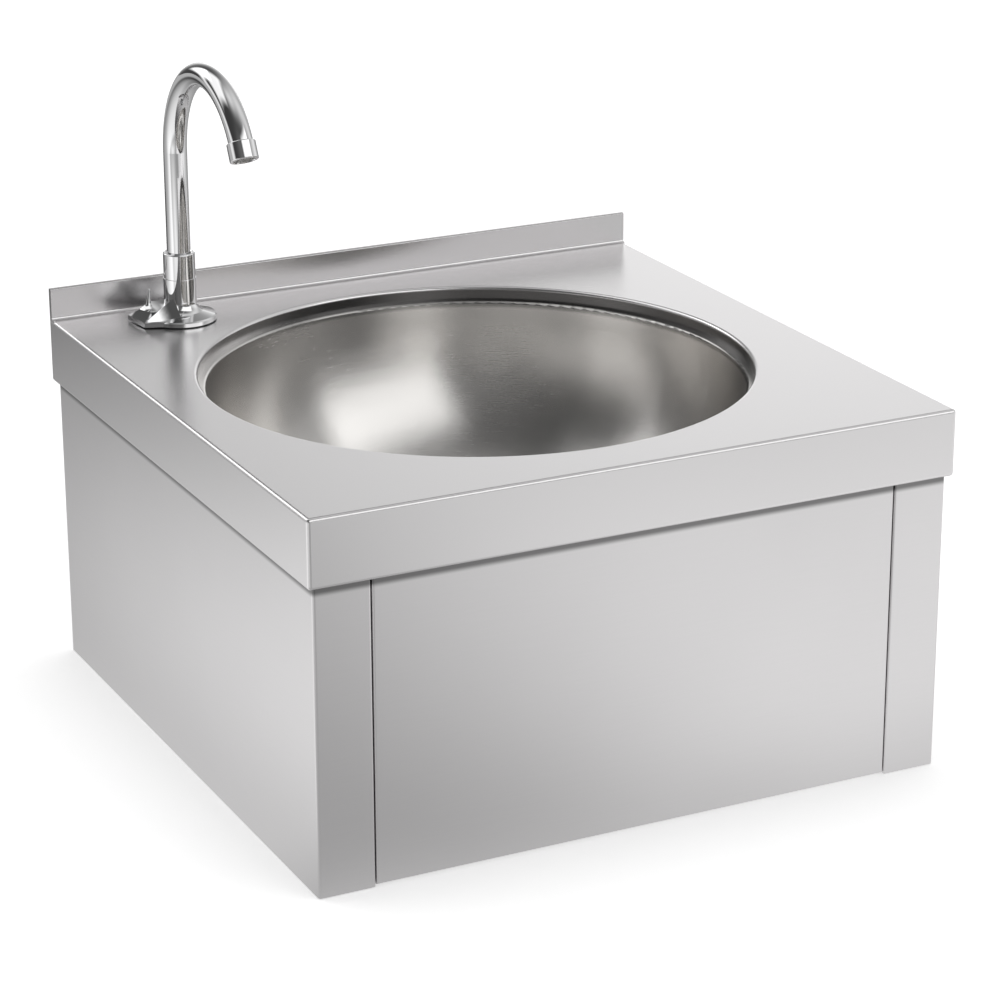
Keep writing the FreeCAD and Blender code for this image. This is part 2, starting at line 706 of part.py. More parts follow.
def pivot_clips():
    """Open rings in the grooves at the inner ends of the pins."""
    start = V(PANEL_X - BUSH_LENGTH - CLIP_GAP, PIVOT_Y, PIVOT_Z)
    end = start - X * CLIP_THICKNESS
    ring = tube(CLIP_RADIUS, PIN_RADIUS - PIN_GROOVE, start, end)
    mouth = box(V(end.x - CUT, PIVOT_Y - CLIP_MOUTH / 2, PIVOT_Z - 2 * CLIP_RADIUS),
                V(start.x + CUT, PIVOT_Y + CLIP_MOUTH / 2, PIVOT_Z))
    return pair(ring.cut(mouth))


def stop_buffers():
    """Rubber strips on the stop lips."""
    back = SKIRT_FRONT + PANEL_FLANGE - SHEET
    low = STOP_LIP_RISE + BUFFER_MARGIN
    strip = box(V(PANEL_X + SLIT, back - BUFFER_THICKNESS, low),
                V(PANEL_X + STOP_LIP_WIDTH, back, low + STOP_LIP_HEIGHT - 2 * BUFFER_MARGIN))
    return pair(strip)


# ---------------------------------------------------------------- pusher


def bracket_face():
    """Y of the bracket's crown, on the side of the valve."""
    return PANEL_INSIDE + BRACKET_DEPTH


def pusher_bracket():
    """Hat section welded to the back of the knee panel."""
    half = BRACKET_CROWN / 2
    crown = bracket_face() - BRACKET_SHEET
    base = VALVE_HEIGHT - BRACKET_HEIGHT / 2
    outline = [V(-half - BRACKET_FOOT, PANEL_INSIDE, base), V(-half, PANEL_INSIDE, base), V(-half, crown, base),
               V(half, crown, base), V(half, PANEL_INSIDE, base), V(half + BRACKET_FOOT, PANEL_INSIDE, base)]
    hat = folded(outline, BRACKET_SHEET, (BRACKET_BEND,) * 4, Z * BRACKET_HEIGHT)
    start = V(VALVE_X, crown - BRACKET_SHEET, VALVE_HEIGHT)
    return hat.cut(rod(BOLT_RADIUS + THREAD_GAP, start, start + Y * (3 * BRACKET_SHEET)))


def pusher_bolt():
    """Adjusting bolt with a domed head that meets the valve's button."""
    tip = BUTTON_FRONT - PUSH_GAP
    head_base = tip - BOLT_DOME - BOLT_HEAD
    head = hexagon(BOLT_FLATS, V(VALVE_X, head_base, VALVE_HEIGHT), Y, BOLT_HEAD)
    shank_start = PANEL_INSIDE + BOLT_TAIL
    shank = rod(BOLT_RADIUS, V(VALVE_X, shank_start, VALVE_HEIGHT), V(VALVE_X, head_base, VALVE_HEIGHT))
    foot = BOLT_FLATS / 2 - BOLT_DOME
    cap = lathe([(0, 0), (foot, 0), dome(foot, 0, BOLT_DOME)],
                V(VALVE_X, head_base + BOLT_HEAD, VALVE_HEIGHT), Y)
    return head.fuse([shank, cap])


def pusher_nuts():
    """One nut on each side of the bracket's crown."""
    bore = BOLT_RADIUS + THREAD_GAP
    outer = nut(BOLT_FLATS, bore, V(VALVE_X, bracket_face(), VALVE_HEIGHT), Y, BOLT_NUT)
    inner_face = bracket_face() - BRACKET_SHEET
    inner = nut(BOLT_FLATS, bore, V(VALVE_X, inner_face - BOLT_NUT, VALVE_HEIGHT), Y, BOLT_NUT)
    return Part.makeCompound([outer, inner])


# ---------------------------------------------------------------- valve


def valve_body():
    """Turned body with its threaded stub through the crossbar and two side ports."""
    bore = STEM_RADIUS + RUNNING
    seat = STUB_LENGTH + BAR_SHEET
    end = seat + VALVE_LENGTH
    body = lathe([(bore, 0), (STUB_RADIUS, 0), (STUB_RADIUS, seat), (VALVE_RADIUS, seat),
                  (VALVE_RADIUS, end - VALVE_CHAMFER), (VALVE_RADIUS - VALVE_CHAMFER, end), (0, end),
                  (0, STEM_BORE), (bore, STEM_BORE)],
                 V(VALVE_X, BAR_FRONT - STUB_LENGTH, VALVE_HEIGHT), Y)
    middle = V(VALVE_X, PORT_Y, VALVE_HEIGHT)
    for side in (-1, 1):
        way = X * side
        boss = rod(PORT_BOSS, middle, middle + way * (VALVE_RADIUS + PORT_BOSS_LENGTH))
        thread = rod(PORT_RADIUS, middle, middle + way * PORT_END)
        body = body.fuse([boss, thread])
    for side in (-1, 1):
        way = X * side
        body = body.cut(rod(PORT_BORE, middle + way * PORT_BLIND, middle + way * (PORT_END + CUT)))
    return body.removeSplitter()


def valve_nut():
    """Thin nut that clamps the valve to the crossbar."""
    return nut(VALVE_NUT_FLATS, STUB_RADIUS + THREAD_GAP, V(VALVE_X, BAR_FRONT, VALVE_HEIGHT), Y * -1, VALVE_NUT)


def valve_bonnet():
    """Cap on the stub's end that guides the stem and seats the spring."""
    depth = BONNET_LENGTH - BONNET_LIP
    into, arc = rounding((BONNET_RADIUS, BONNET_LENGTH), (0, -1), (-1, 0), BUTTON_ROUND)
    return lathe([(STUB_RADIUS + THREAD_GAP, 0), (BONNET_RADIUS, 0), into, arc,
                  (STEM_RADIUS + RUNNING, BONNET_LENGTH), (STEM_RADIUS + RUNNING, depth),
                  (STUB_RADIUS + THREAD_GAP, depth)],
                 V(VALVE_X, BAR_FRONT - VALVE_NUT, VALVE_HEIGHT), Y * -1)


def valve_button():
    """Push button with its stem."""
    length = BONNET_FRONT - BUTTON_BACK + STEM_REACH
    full = length + BUTTON_THICKNESS
    into, arc = rounding((BUTTON_RADIUS, full), (0, -1), (-1, 0), BUTTON_ROUND)
    return lathe([(0, 0), (STEM_RADIUS, 0), (STEM_RADIUS, length), (BUTTON_RADIUS, length), into, arc, (0, full)],
                 V(VALVE_X, BONNET_FRONT + STEM_REACH, VALVE_HEIGHT), Y * -1)


def biarc(start, start_way, end, end_way):
    """Two arcs that leave start and reach end along the given directions."""
    gap = end - start
    both = start_way + end_way
    spread = 2 * (1 - start_way.dot(end_way))
    along = gap.dot(both)
    reach = (math.sqrt(along * along + spread * gap.dot(gap)) - along) / spread
    joint = (start + start_way * reach + end - end_way * reach) * 0.5
    edges = []
    for a, way, b in ((start, start_way, joint), (end, end_way * -1, joint)):
        chord = b - a
        side = (chord - way * chord.dot(way)).normalize()
        radius = chord.dot(chord) / (2 * chord.dot(side))
        centre = a + side * radius
        middle = (a + b) * 0.5 - centre
        middle = centre + middle.normalize() * radius
        edges.append((a, middle, b))
    first, second = edges
    return [Part.Arc(*first).toShape(), Part.Arc(second[2], second[1], second[0]).toShape()]


def valve_spring():
    """Compression spring round the stem, one tube along a helix of half-turn biarcs."""
    wire = SPRING_WIRE
    length = SPRING_LENGTH - 2 * (SPRING_SEAT_GAP + wire)
    pitch = length / SPRING_TURNS
    rise = pitch / (2 * math.pi)

    def point(step):
        turn = step * math.pi
        return V(SPRING_RADIUS * math.cos(turn), SPRING_RADIUS * math.sin(turn), rise * turn)

    def way(step):
        turn = step * math.pi
        return V(-SPRING_RADIUS * math.sin(turn), SPRING_RADIUS * math.cos(turn), rise).normalize()

    edges = []
    for step in range(2 * SPRING_TURNS):
        edges += biarc(point(step), way(step), point(step + 1), way(step + 1))
    path = Part.Wire(edges)
    ring = Part.Wire(Part.makeCircle(wire, point(0), way(0)))
    coil = path.makePipeShell([ring], True, False)
    print("spring: gap between turns", round(pitch - 2 * wire, 3), "mm, volume against section x length",
          round(coil.Volume / (math.pi * wire * wire * path.Length), 4))
    return placed(coil, V(VALVE_X, BONNET_FRONT - SPRING_SEAT_GAP - wire, VALVE_HEIGHT), Y * -1)


# ---------------------------------------------------------------- pipework


def fitting(port_end, way):
    """Nut, gasket and the plane where a flanged tail starts, on a threaded port."""
    start = port_end - way * FITTING_GRIP
    body = hexagon(FITTING_FLATS, start, way, FITTING_NUT)
    body = body.cut(rod(PORT_RADIUS + THREAD_GAP, start, port_end + way * (FITTING_NUT - FITTING_GRIP - FITTING_LIP)))
    body = body.cut(rod(TAIL_RADIUS + THREAD_GAP, start, start + way * (FITTING_NUT + CUT)))
    gasket = tube(TAIL_FLANGE_RADIUS, PORT_BORE, port_end, port_end + way * GASKET_THICKNESS)
    return body, gasket, port_end + way * GASKET_THICKNESS


def valve_port(side):
    """End of the valve's left (-1) or right (1) port."""
    return V(VALVE_X + side * PORT_END, PORT_Y, VALVE_HEIGHT)


def shank_end():
    """Lower end of the tap's threaded shank."""
    return V(TAP_X, TAP_Y, SHANK_BOTTOM)


def union_nut():
    """Nut between the valve and the mixer."""
    return fitting(valve_port(1), X)[0]


def union_gasket():
    """Fibre ring in the union."""
    return fitting(valve_port(1), X)[1]


def inlet_places():
    """Centres of the mixer's two inlets, on the mixer's axis."""
    start = mixer_start() + MIXER_LENGTH / 2
    return [V(start + side * INLET_SPACING / 2, PORT_Y, VALVE_HEIGHT) for side in (-1, 1)]


def mixer_start():
    """X of the near end of the mixer's barrel."""
    return VALVE_X + PORT_END + GASKET_THICKNESS + MIXER_TAIL


def mixer_body():
    """Barrel with a flanged tail, two inlet bosses and a boss for the knob."""
    tail = mixer_start() - MIXER_TAIL
    end = MIXER_TAIL + MIXER_LENGTH
    body = lathe([(PORT_BORE, 0), (TAIL_FLANGE_RADIUS, 0), (TAIL_FLANGE_RADIUS, TAIL_FLANGE),
                  (TAIL_RADIUS, TAIL_FLANGE), (TAIL_RADIUS, MIXER_TAIL), (MIXER_RADIUS - MIXER_CHAMFER, MIXER_TAIL),
                  (MIXER_RADIUS, MIXER_TAIL + MIXER_CHAMFER), (MIXER_RADIUS, end - MIXER_CHAMFER),
                  (MIXER_RADIUS - MIXER_CHAMFER, end), (0, end), (0, MIXER_TAIL + MIXER_CHAMFER),
                  (PORT_BORE, MIXER_TAIL + MIXER_CHAMFER)], V(tail, PORT_Y, VALVE_HEIGHT), X)
    for centre in inlet_places():
        reach = MIXER_RADIUS + INLET_BOSS_LENGTH
        body = body.fuse(rod(INLET_BOSS, centre, centre + Y * reach))
        body = body.cut(rod(NIPPLE_BORE, centre + Y * (MIXER_RADIUS - MIXER_CHAMFER), centre + Y * (reach + CUT)))
    top = knob_axis() - Z * (MIXER_RADIUS + KNOB_BOSS_LENGTH)
    body = body.fuse(rod(KNOB_BOSS, knob_axis() - Z * MIXER_CHAMFER, top))
    return body.cut(rod(KNOB_STEM_RADIUS + RUNNING, top - Z * CUT, top + Z * (KNOB_STEM + CUT))).removeSplitter()


def inlet_nipples():
    """Threaded nipples for the hot and the cold supply."""
    nipples = []
    for centre in inlet_places():
        start = centre + Y * (MIXER_RADIUS + INLET_BOSS_LENGTH)
        nipples.append(tube(INLET_RADIUS, NIPPLE_BORE, start, start + Y * NIPPLE_LENGTH))
    return Part.makeCompound(nipples)


def check_valves():
    """Non-return cartridges inside the nipples."""
    cartridges = []
    for centre in inlet_places():
        start = centre + Y * (MIXER_RADIUS + INLET_BOSS_LENGTH + NIPPLE_LENGTH - CHECK_VALVE_SETBACK)
        outer = NIPPLE_BORE - THREAD_GAP
        body = lathe([(0, CHECK_VALVE_RIM), (CHECK_VALVE_BORE, CHECK_VALVE_RIM),
                      (CHECK_VALVE_BORE + CHECK_VALVE_CHAMFER, 0), (outer, 0), (outer, CHECK_VALVE_LENGTH),
                      (0, CHECK_VALVE_LENGTH)], start, Y * -1)
        cartridges.append(body)
    return Part.makeCompound(cartridges)


def knob_axis():
    """Where the knob's axis crosses the mixer's axis."""
    return V(mixer_start() + MIXER_LENGTH / 2, PORT_Y, VALVE_HEIGHT)


def knob_top():
    """Upper face of the knob, just under its boss."""
    return knob_axis() - Z * (MIXER_RADIUS + KNOB_BOSS_LENGTH + KNOB_GAP)


def mixer_knob():
    """Fluted knob under the mixer that sets the temperature."""
    into, arc = rounding((KNOB_RADIUS, KNOB_HEIGHT), (0, -1), (-1, 0), KNOB_ROUND)
    screw = KNOB_SCREW_RADIUS
    head = KNOB_SCREW_HEAD
    knob = lathe([(screw, -KNOB_STEM), (KNOB_STEM_RADIUS, -KNOB_STEM), (KNOB_STEM_RADIUS, 0), (KNOB_RADIUS, 0),
                  into, arc, (head, KNOB_HEIGHT), (head, KNOB_HEIGHT - KNOB_SCREW_SINK),
                  (screw, KNOB_HEIGHT - KNOB_SCREW_SINK)], knob_top(), Z * -1)
    for turn in range(KNOB_FLUTES):
        centre = placed_point(KNOB_RADIUS + KNOB_FLUTE_RADIUS - KNOB_FLUTE_DEPTH, turn * FULL_TURN / KNOB_FLUTES)
        start = knob_top() + centre + Z * CUT
        knob = knob.cut(rod(KNOB_FLUTE_RADIUS, start, start - Z * (KNOB_HEIGHT + 2 * CUT)))
    return knob


def knob_screw():
    """Screw up through the knob into its stem."""
    length = KNOB_SCREW_LENGTH
    return lathe([(0, 0), (KNOB_SCREW_HEAD - THREAD_GAP, 0), (KNOB_SCREW_HEAD - THREAD_GAP, KNOB_SCREW_SINK),
                  (KNOB_SCREW_RADIUS, KNOB_SCREW_SINK), (KNOB_SCREW_RADIUS, length), (0, length)],
                 knob_top() - Z * KNOB_HEIGHT, Z)


def pipe_ends():
    """The two ports that the pipe joins, each with the direction away from it."""
    return ((valve_port(-1), X * -1), (shank_end(), Z * -1))


def pipe_nuts():
    """Nuts at both ends of the pipe."""
    return Part.makeCompound([fitting(port, way)[0] for port, way in pipe_ends()])


def pipe_gaskets():
    """Fibre rings at both ends of the pipe."""
    return Part.makeCompound([fitting(port, way)[1] for port, way in pipe_ends()])


def pipe_tails():
    """Flanged tails with a sleeve, brazed on the pipe's ends."""
    tails = []
    neck_end = TAIL_FLANGE + TAIL_NECK
    end = neck_end + SLEEVE_LENGTH
    bore = PIPE_RADIUS - PIPE_WALL
    for port, way in pipe_ends():
        tails.append(lathe([(bore, 0), (TAIL_FLANGE_RADIUS, 0), (TAIL_FLANGE_RADIUS, TAIL_FLANGE),
                            (SLEEVE_RADIUS, TAIL_FLANGE), (SLEEVE_RADIUS, end), (PIPE_RADIUS, end),
                            (PIPE_RADIUS, neck_end), (bore, neck_end)], port + way * GASKET_THICKNESS, way))
    return Part.makeCompound(tails)


def supply_pipe():
    """Bent pipe: left from the valve, back under the bowl, and up to the tap."""
    neck_end = GASKET_THICKNESS + TAIL_FLANGE + TAIL_NECK
    start, end = [port + way * neck_end for port, way in pipe_ends()]
    route = [start, V(TAP_X, PORT_Y, VALVE_HEIGHT), V(TAP_X, TAP_Y, VALVE_HEIGHT), end]
    edges = filleted_path(route, (PIPE_BEND_FRONT, PIPE_BEND_REAR))
    solids = []
    for radius in (PIPE_RADIUS, PIPE_RADIUS - PIPE_WALL):
        ring = Part.Wire(Part.makeCircle(radius, start, X))
        solids.append(Part.Wire(edges).makePipeShell([ring], True, False))
    length = Part.Wire(edges).Length
    print("pipe: length", round(length, 1), "mm, volume against section x length",
          round(solids[0].Volume / (math.pi * PIPE_RADIUS ** 2 * length), 4))
    return solids[0].cut(solids[1])


# ---------------------------------------------------------------- tap

# Wing of the tap's foot, from the tap's axis on the deck: the low outer edge, the front
# ridge that climbs to the column, the facets down to the notch, and the horn behind it.
WING_FRONT = V(-27.7, -10.2, 0)
WING_BACK = V(-30.5, 11.2, 0)
WING_BACK_FOOT = V(-8.0, 17.5, 0)
RIDGE_FOOT = V(-5.0, -18.5, 0)
RIDGE_TOP = V(-7.0, -6.5, 16.0)
RIDGE_INNER = V(-6.0, 1.0, 0)
RIDGE_NOSE = 2.0
SLOPE_FRONT = V(-20.5, -3.0, 7.5)
SLOPE_BACK = V(-23.4, 9.0, 6.9)
NOTCH = V(-15.4, -0.5, 7.0)
HORN_BASE = V(-18.0, 8.0, 11.5)
HORN_TIP = V(-17.0, 8.6, 19.0)
HORN_ROOT = 4.0
HORN_BASE_RADIUS = 2.2
HORN_TIP_RADIUS = 0.5
WEB_FRONT = V(-4.0, -2.0, 11.0)
WEB_BACK = V(-4.0, 7.0, 11.5)


def tap_origin():
    """The tap's axis, on the deck."""
    return V(TAP_X, TAP_Y, DECK_HEIGHT)


def wing_plate():
    """Low edge of the wing, drawn out of the round foot."""
    corners = [WING_FRONT, WING_BACK, WING_BACK_FOOT, CENTRE, RIDGE_FOOT]
    plate = Part.Face(Part.makePolygon(corners + [corners[0]])).extrude(Z * FOOT_EDGE)
    plate.translate(Z * FOOT_GASKET)
    return plate


def wing_ridge():
    """Wedge in front of the notch, from the wing's front corner up to the column."""
    base = Z * FOOT_GASKET
    outer = [WING_FRONT + Y * RIDGE_NOSE + base, WING_FRONT + X * RIDGE_NOSE + base,
             WING_FRONT + base + Z * FOOT_EDGE]
    inner = [RIDGE_INNER + base, RIDGE_FOOT + base, RIDGE_TOP]
    return prism_loft([outer, inner])


def wing_facets():
    """Outer slope, the slope down to the notch, and the web from there to the column."""
    edge = Z * (FOOT_GASKET + FOOT_EDGE)
    crests = ((WING_FRONT + edge, WING_BACK + edge), (SLOPE_FRONT, SLOPE_BACK), (NOTCH, HORN_BASE),
              (WEB_FRONT, WEB_BACK))
    sections = []
    for front, back in crests:
        sections.append([V(front.x, front.y, FOOT_GASKET), V(back.x, back.y, FOOT_GASKET), back, front])
    return prism_loft(sections)


def wing_horn():
    """Small pointed horn at the back of the wing."""
    way = (HORN_TIP - HORN_BASE).normalize()
    start = HORN_BASE - way * HORN_ROOT
    return Part.makeCone(HORN_BASE_RADIUS, HORN_TIP_RADIUS, (HORN_TIP - start).Length, start, way)


def tap_foot():
    """Cast foot: dished flange, column, threaded stub and the wing on its left."""
    low = FOOT_GASKET
    edge = low + FOOT_EDGE
    dish = low + FOOT_DISH
    bore = SPOUT_RADIUS + RUNNING
    socket = PORT_RADIUS + THREAD_GAP
    thread = low + FOOT_THREAD_DEPTH
    stub = COLUMN_HEIGHT + STUB_TOP
    waist = COLUMN_RADIUS + (FOOT_FLARE_RADIUS - COLUMN_RADIUS) * FOOT_FLARE_BOW
    middle = dish + (FOOT_FLARE - dish) * (1 - FOOT_FLARE_BOW) / 2
    cast = lathe([(socket, low), (FOOT_RADIUS, low), (FOOT_RADIUS, edge - FOOT_ROUND),
                  (FOOT_RADIUS - FOOT_ROUND, edge), (FOOT_FLARE_RADIUS, dish),
                  (waist, middle, COLUMN_RADIUS, FOOT_FLARE), (COLUMN_RADIUS, COLUMN_HEIGHT),
                  (STUB_TOP_RADIUS, COLUMN_HEIGHT), (STUB_TOP_RADIUS, stub), (bore, stub), (bore, thread),
                  (socket, thread)])
    shape = cast.fuse([wing_plate(), wing_ridge(), wing_facets(), wing_horn()])
    shape = shape.cut(rod(socket, CENTRE, Z * thread)).cut(rod(bore, CENTRE, Z * (stub + CUT)))
    shape.translate(tap_origin())
    return shape.removeSplitter()


def tap_gasket():
    """Thin ring under the foot."""
    return tube(FOOT_RADIUS - FOOT_GASKET_INSET, TAP_HOLE_RADIUS, tap_origin(), tap_origin() + Z * FOOT_GASKET)


def tap_collar():
    """Collar screwed on the foot's stub, which holds the spout's snap ring down."""
    room = STUB_TOP + SNAP_RING_ROOM
    ring = SNAP_RING_RADIUS + 2 * SNAP_RING_GAP
    thread = STUB_TOP_RADIUS + THREAD_GAP
    top = COLLAR_HEIGHT
    into, arc = rounding((COLLAR_RADIUS, top), (0, -1), (-1, 0), COLLAR_ROUND)
    bore = SPOUT_RADIUS + RUNNING
    return lathe([(thread, 0), (COLLAR_RADIUS, 0), into, arc, (COLLAR_LIP_RADIUS, top),
                  (bore, top - COLLAR_LIP_DEPTH), (bore, room), (ring, room), (ring, STUB_TOP), (thread, STUB_TOP)],
                 tap_origin() + Z * COLUMN_HEIGHT)


def tap_shank():
    """Threaded pipe from the foot down through the deck."""
    return tube(PORT_RADIUS, PORT_BORE, shank_end(), tap_origin() + Z * (FOOT_GASKET + FOOT_THREAD_DEPTH))


def under_deck(drop):
    """Point on the tap's axis, a given way under the deck's sheet."""
    return V(TAP_X, TAP_Y, UNDER_DECK - drop)


def tap_seal():
    """Rubber washer under the deck."""
    return tube(TAP_WASHER_RADIUS, PORT_RADIUS + THREAD_GAP, under_deck(TAP_SEAL), under_deck(0))


def tap_washer():
    """Steel washer under the rubber one."""
    return tube(TAP_WASHER_RADIUS, PORT_RADIUS + THREAD_GAP, under_deck(TAP_SEAL + TAP_WASHER), under_deck(TAP_SEAL))


def tap_locknut():
    """Nut that clamps the tap to the deck."""
    return nut(TAP_LOCKNUT_FLATS, PORT_RADIUS + THREAD_GAP, under_deck(TAP_SEAL + TAP_WASHER), Z * -1, TAP_LOCKNUT)


def snap_ring_height():
    """Underside of the snap ring, above the deck."""
    return COLUMN_HEIGHT + STUB_TOP + SNAP_RING_GAP


def spout():
    """Swan neck: thick lower end with ring grooves, straight rise and one long bend."""
    inner = SPOUT_RADIUS - SPOUT_WALL
    oring_depth = SPOUT_RADIUS - 2 * ORING_WIRE
    snap = snap_ring_height()
    outline = [(SPOUT_NARROW_BORE, SPOUT_START), (SPOUT_RADIUS, SPOUT_START)]
    for index in range(2):
        low = ORING_FIRST + index * ORING_PITCH
        high = low + 2 * ORING_WIRE
        outline += [(SPOUT_RADIUS, low), (oring_depth, low), (oring_depth, high), (SPOUT_RADIUS, high)]
    groove = SPOUT_RADIUS - SNAP_RING_GROOVE
    outline += [(SPOUT_RADIUS, snap), (groove, snap), (groove, snap + SNAP_RING_THICKNESS),
                (SPOUT_RADIUS, snap + SNAP_RING_THICKNESS), (SPOUT_RADIUS, SPOUT_RISE), (inner, SPOUT_RISE),
                (inner, SPOUT_THICK_TO), (SPOUT_NARROW_BORE, SPOUT_THICK_TO)]
    rise = lathe(outline, tap_origin())
    top = tap_origin() + Z * SPOUT_RISE
    wall = Part.Face(Part.Wire(Part.makeCircle(SPOUT_RADIUS, top, Z)))
    wall = wall.cut(Part.Face(Part.Wire(Part.makeCircle(inner, top, Z))))
    bend = wall.Faces[0].revolve(top - Y * SPOUT_BEND, X, SPOUT_SWEEP)
    return rise.fuse(bend)


def spout_mouth():
    """End of the swan neck and the direction in which the water leaves."""
    sweep = math.radians(SPOUT_SWEEP)
    centre = tap_origin() + Z * SPOUT_RISE - Y * SPOUT_BEND
    end = centre + (Y * math.cos(sweep) + Z * math.sin(sweep)) * SPOUT_BEND
    return end, Y * -math.sin(sweep) + Z * math.cos(sweep)


def spout_orings():
    """Two O-rings in the grooves of the spout's lower end."""
    rings = []
    for index in range(2):
        height = ORING_FIRST + index * ORING_PITCH + ORING_WIRE
        rings.append(Part.makeTorus(SPOUT_RADIUS - ORING_WIRE, ORING_WIRE, tap_origin() + Z * height))
    return Part.makeCompound(rings)


def spout_snap_ring():
    """Split ring between the foot's stub and the collar."""
    start = tap_origin() + Z * snap_ring_height()
    ring = tube(SNAP_RING_RADIUS, SPOUT_RADIUS - SNAP_RING_GROOVE, start, start + Z * SNAP_RING_THICKNESS)
    split = box(start + V(-SNAP_RING_SPLIT / 2, 0, -CUT),
                start + V(SNAP_RING_SPLIT / 2, 2 * SNAP_RING_RADIUS, SNAP_RING_THICKNESS + CUT))
    return ring.cut(split)


def aerator_housing():
    """Sleeve on the spout's mouth."""
    end, way = spout_mouth()
    inside = AERATOR_SOCKET + AERATOR_SEAL + AERATOR_INSERT
    into, arc = rounding((AERATOR_RADIUS, AERATOR_LENGTH), (0, -1), (-1, 0), AERATOR_ROUND)
    back, arc_back = rounding((AERATOR_RADIUS, 0), (-1, 0), (0, 1), AERATOR_ROUND)
    bore = SPOUT_RADIUS + AERATOR_FIT
    return lathe([(bore, 0), back, arc_back, into, arc, (AERATOR_MOUTH + AERATOR_ROUND, AERATOR_LENGTH),
                  (AERATOR_MOUTH, AERATOR_LENGTH - AERATOR_ROUND), (AERATOR_MOUTH, inside), (bore, inside)],
                 end - way * AERATOR_SOCKET, way)


def aerator_seal():
    """Rubber ring between the spout's end and the insert."""
    end, way = spout_mouth()
    return tube(SPOUT_RADIUS - THREAD_GAP, SPOUT_RADIUS - AERATOR_SEAL_WALL, end, end + way * AERATOR_SEAL)


def aerator_insert():
    """Perforated jet disc."""
    end, way = spout_mouth()
    disc = rod(SPOUT_RADIUS - THREAD_GAP, CENTRE, Z * AERATOR_INSERT)
    for radius, count in zip(AERATOR_RING_RADII, AERATOR_RING_COUNTS):
        for index in range(count):
            start = placed_point(radius, index * FULL_TURN / count) - Z * CUT
            disc = disc.cut(rod(AERATOR_HOLE, start, start + Z * (AERATOR_INSERT + 2 * CUT)))
    return placed(disc, end + way * AERATOR_SEAL, way)


# ---------------------------------------------------------------- waste


def waste_point(height):
    """Point on the waste's axis."""
    return V(BOWL_X, BOWL_Y, height)


def waste_seal():
    """Rubber ring between the bowl's recess and the grid."""
    return tube(WASTE_SEAL_RADIUS, DRAIN_RADIUS, waste_point(RECESS_Z), waste_point(RECESS_Z + WASTE_SEAL))


def grid_hub_top():
    """Upper face of the grid's middle."""
    return RECESS_Z + WASTE_SEAL - GRID_DISH + GRID_SHEET


def waste_grid():
    """Dished grid with two rings of holes."""
    rim = RECESS_Z + WASTE_SEAL
    low = rim - GRID_DISH
    brim = DRAIN_RADIUS - GRID_GAP
    into, arc = rounding((GRID_RADIUS, rim + GRID_SHEET), (0, -1), (-1, 0), GRID_SHEET / 2)
    disc = lathe([(GRID_HUB, low), (GRID_FLAT_RADIUS, low), (brim, rim), (GRID_RADIUS, rim), into, arc,
                  (brim, rim + GRID_SHEET), (GRID_FLAT_RADIUS, low + GRID_SHEET),
                  (GRID_HUB, low + GRID_SHEET)], waste_point(0))
    for radius, count in zip(GRID_RING_RADII, GRID_RING_COUNTS):
        for index in range(count):
            start = waste_point(low - CUT) + placed_point(radius, index * FULL_TURN / count)
            disc = disc.cut(rod(GRID_HOLE, start, start + Z * (GRID_SHEET + 2 * CUT)))
    return disc


def waste_screw():
    """Slotted screw that draws the waste body up to the grid."""
    top = grid_hub_top()
    head = WASTE_SCREW_HEAD_HEIGHT
    screw = lathe([(0, -WASTE_SCREW_LENGTH), (WASTE_SCREW_RADIUS, -WASTE_SCREW_LENGTH), (WASTE_SCREW_RADIUS, 0),
                   (WASTE_SCREW_HEAD, 0), (WASTE_SCREW_HEAD, head / 3),
                   dome(WASTE_SCREW_HEAD, head / 3, head)], waste_point(top))
    reach = V(WASTE_SCREW_HEAD + CUT, WASTE_SCREW_SLOT / 2, 0)
    slot = box(waste_point(top + head / 2) - reach, waste_point(top + head + CUT) + reach)
    return screw.cut(slot)


def waste_body_top():
    """Upper rim of the waste body, under its gasket."""
    return RECESS_Z - BOWL_SHEET - WASTE_GASKET


def waste_gasket():
    """Thick rubber ring between the bowl and the waste body."""
    return tube(WASTE_CUP_RADIUS, DRAIN_RADIUS, waste_point(waste_body_top()),
                waste_point(RECESS_Z - BOWL_SHEET))


def waste_body():
    """Cup, cone and threaded tail, with a three-armed bridge for the screw."""
    top = waste_body_top()
    cup = top - WASTE_CUP_HEIGHT
    cone = cup - WASTE_CONE_HEIGHT
    inner_cup = WASTE_CUP_RADIUS - WASTE_CUP_WALL
    inner_tail = WASTE_TAIL_RADIUS - WASTE_TAIL_WALL
    shape = lathe([(inner_cup, top), (WASTE_CUP_RADIUS, top), (WASTE_CUP_RADIUS, cup), (WASTE_TAIL_RADIUS, cone),
                   (WASTE_TAIL_RADIUS, WASTE_GROUND_GAP), (inner_tail, WASTE_GROUND_GAP),
                   (inner_tail, cone + WASTE_SHOULDER), (inner_cup, cup + WASTE_SHOULDER)], waste_point(0))
    low = cup - BRIDGE_HEIGHT
    reach = (inner_cup + WASTE_CUP_RADIUS) / 2 - BRIDGE_WIDTH
    for index in range(BRIDGE_ARMS):
        arm = box(V(0, -BRIDGE_WIDTH / 2, low), V(reach, BRIDGE_WIDTH / 2, cup))
        arm.rotate(CENTRE, Z, index * FULL_TURN / BRIDGE_ARMS)
        arm.translate(waste_point(0))
        shape = shape.fuse(arm)
    shape = shape.fuse(rod(BRIDGE_BOSS, waste_point(low), waste_point(cup + WASTE_SHOULDER)))
    hole = rod(WASTE_SCREW_RADIUS + THREAD_GAP, waste_point(low - CUT), waste_point(top))
    return shape.cut(hole).removeSplitter()


# ---------------------------------------------------------------- files

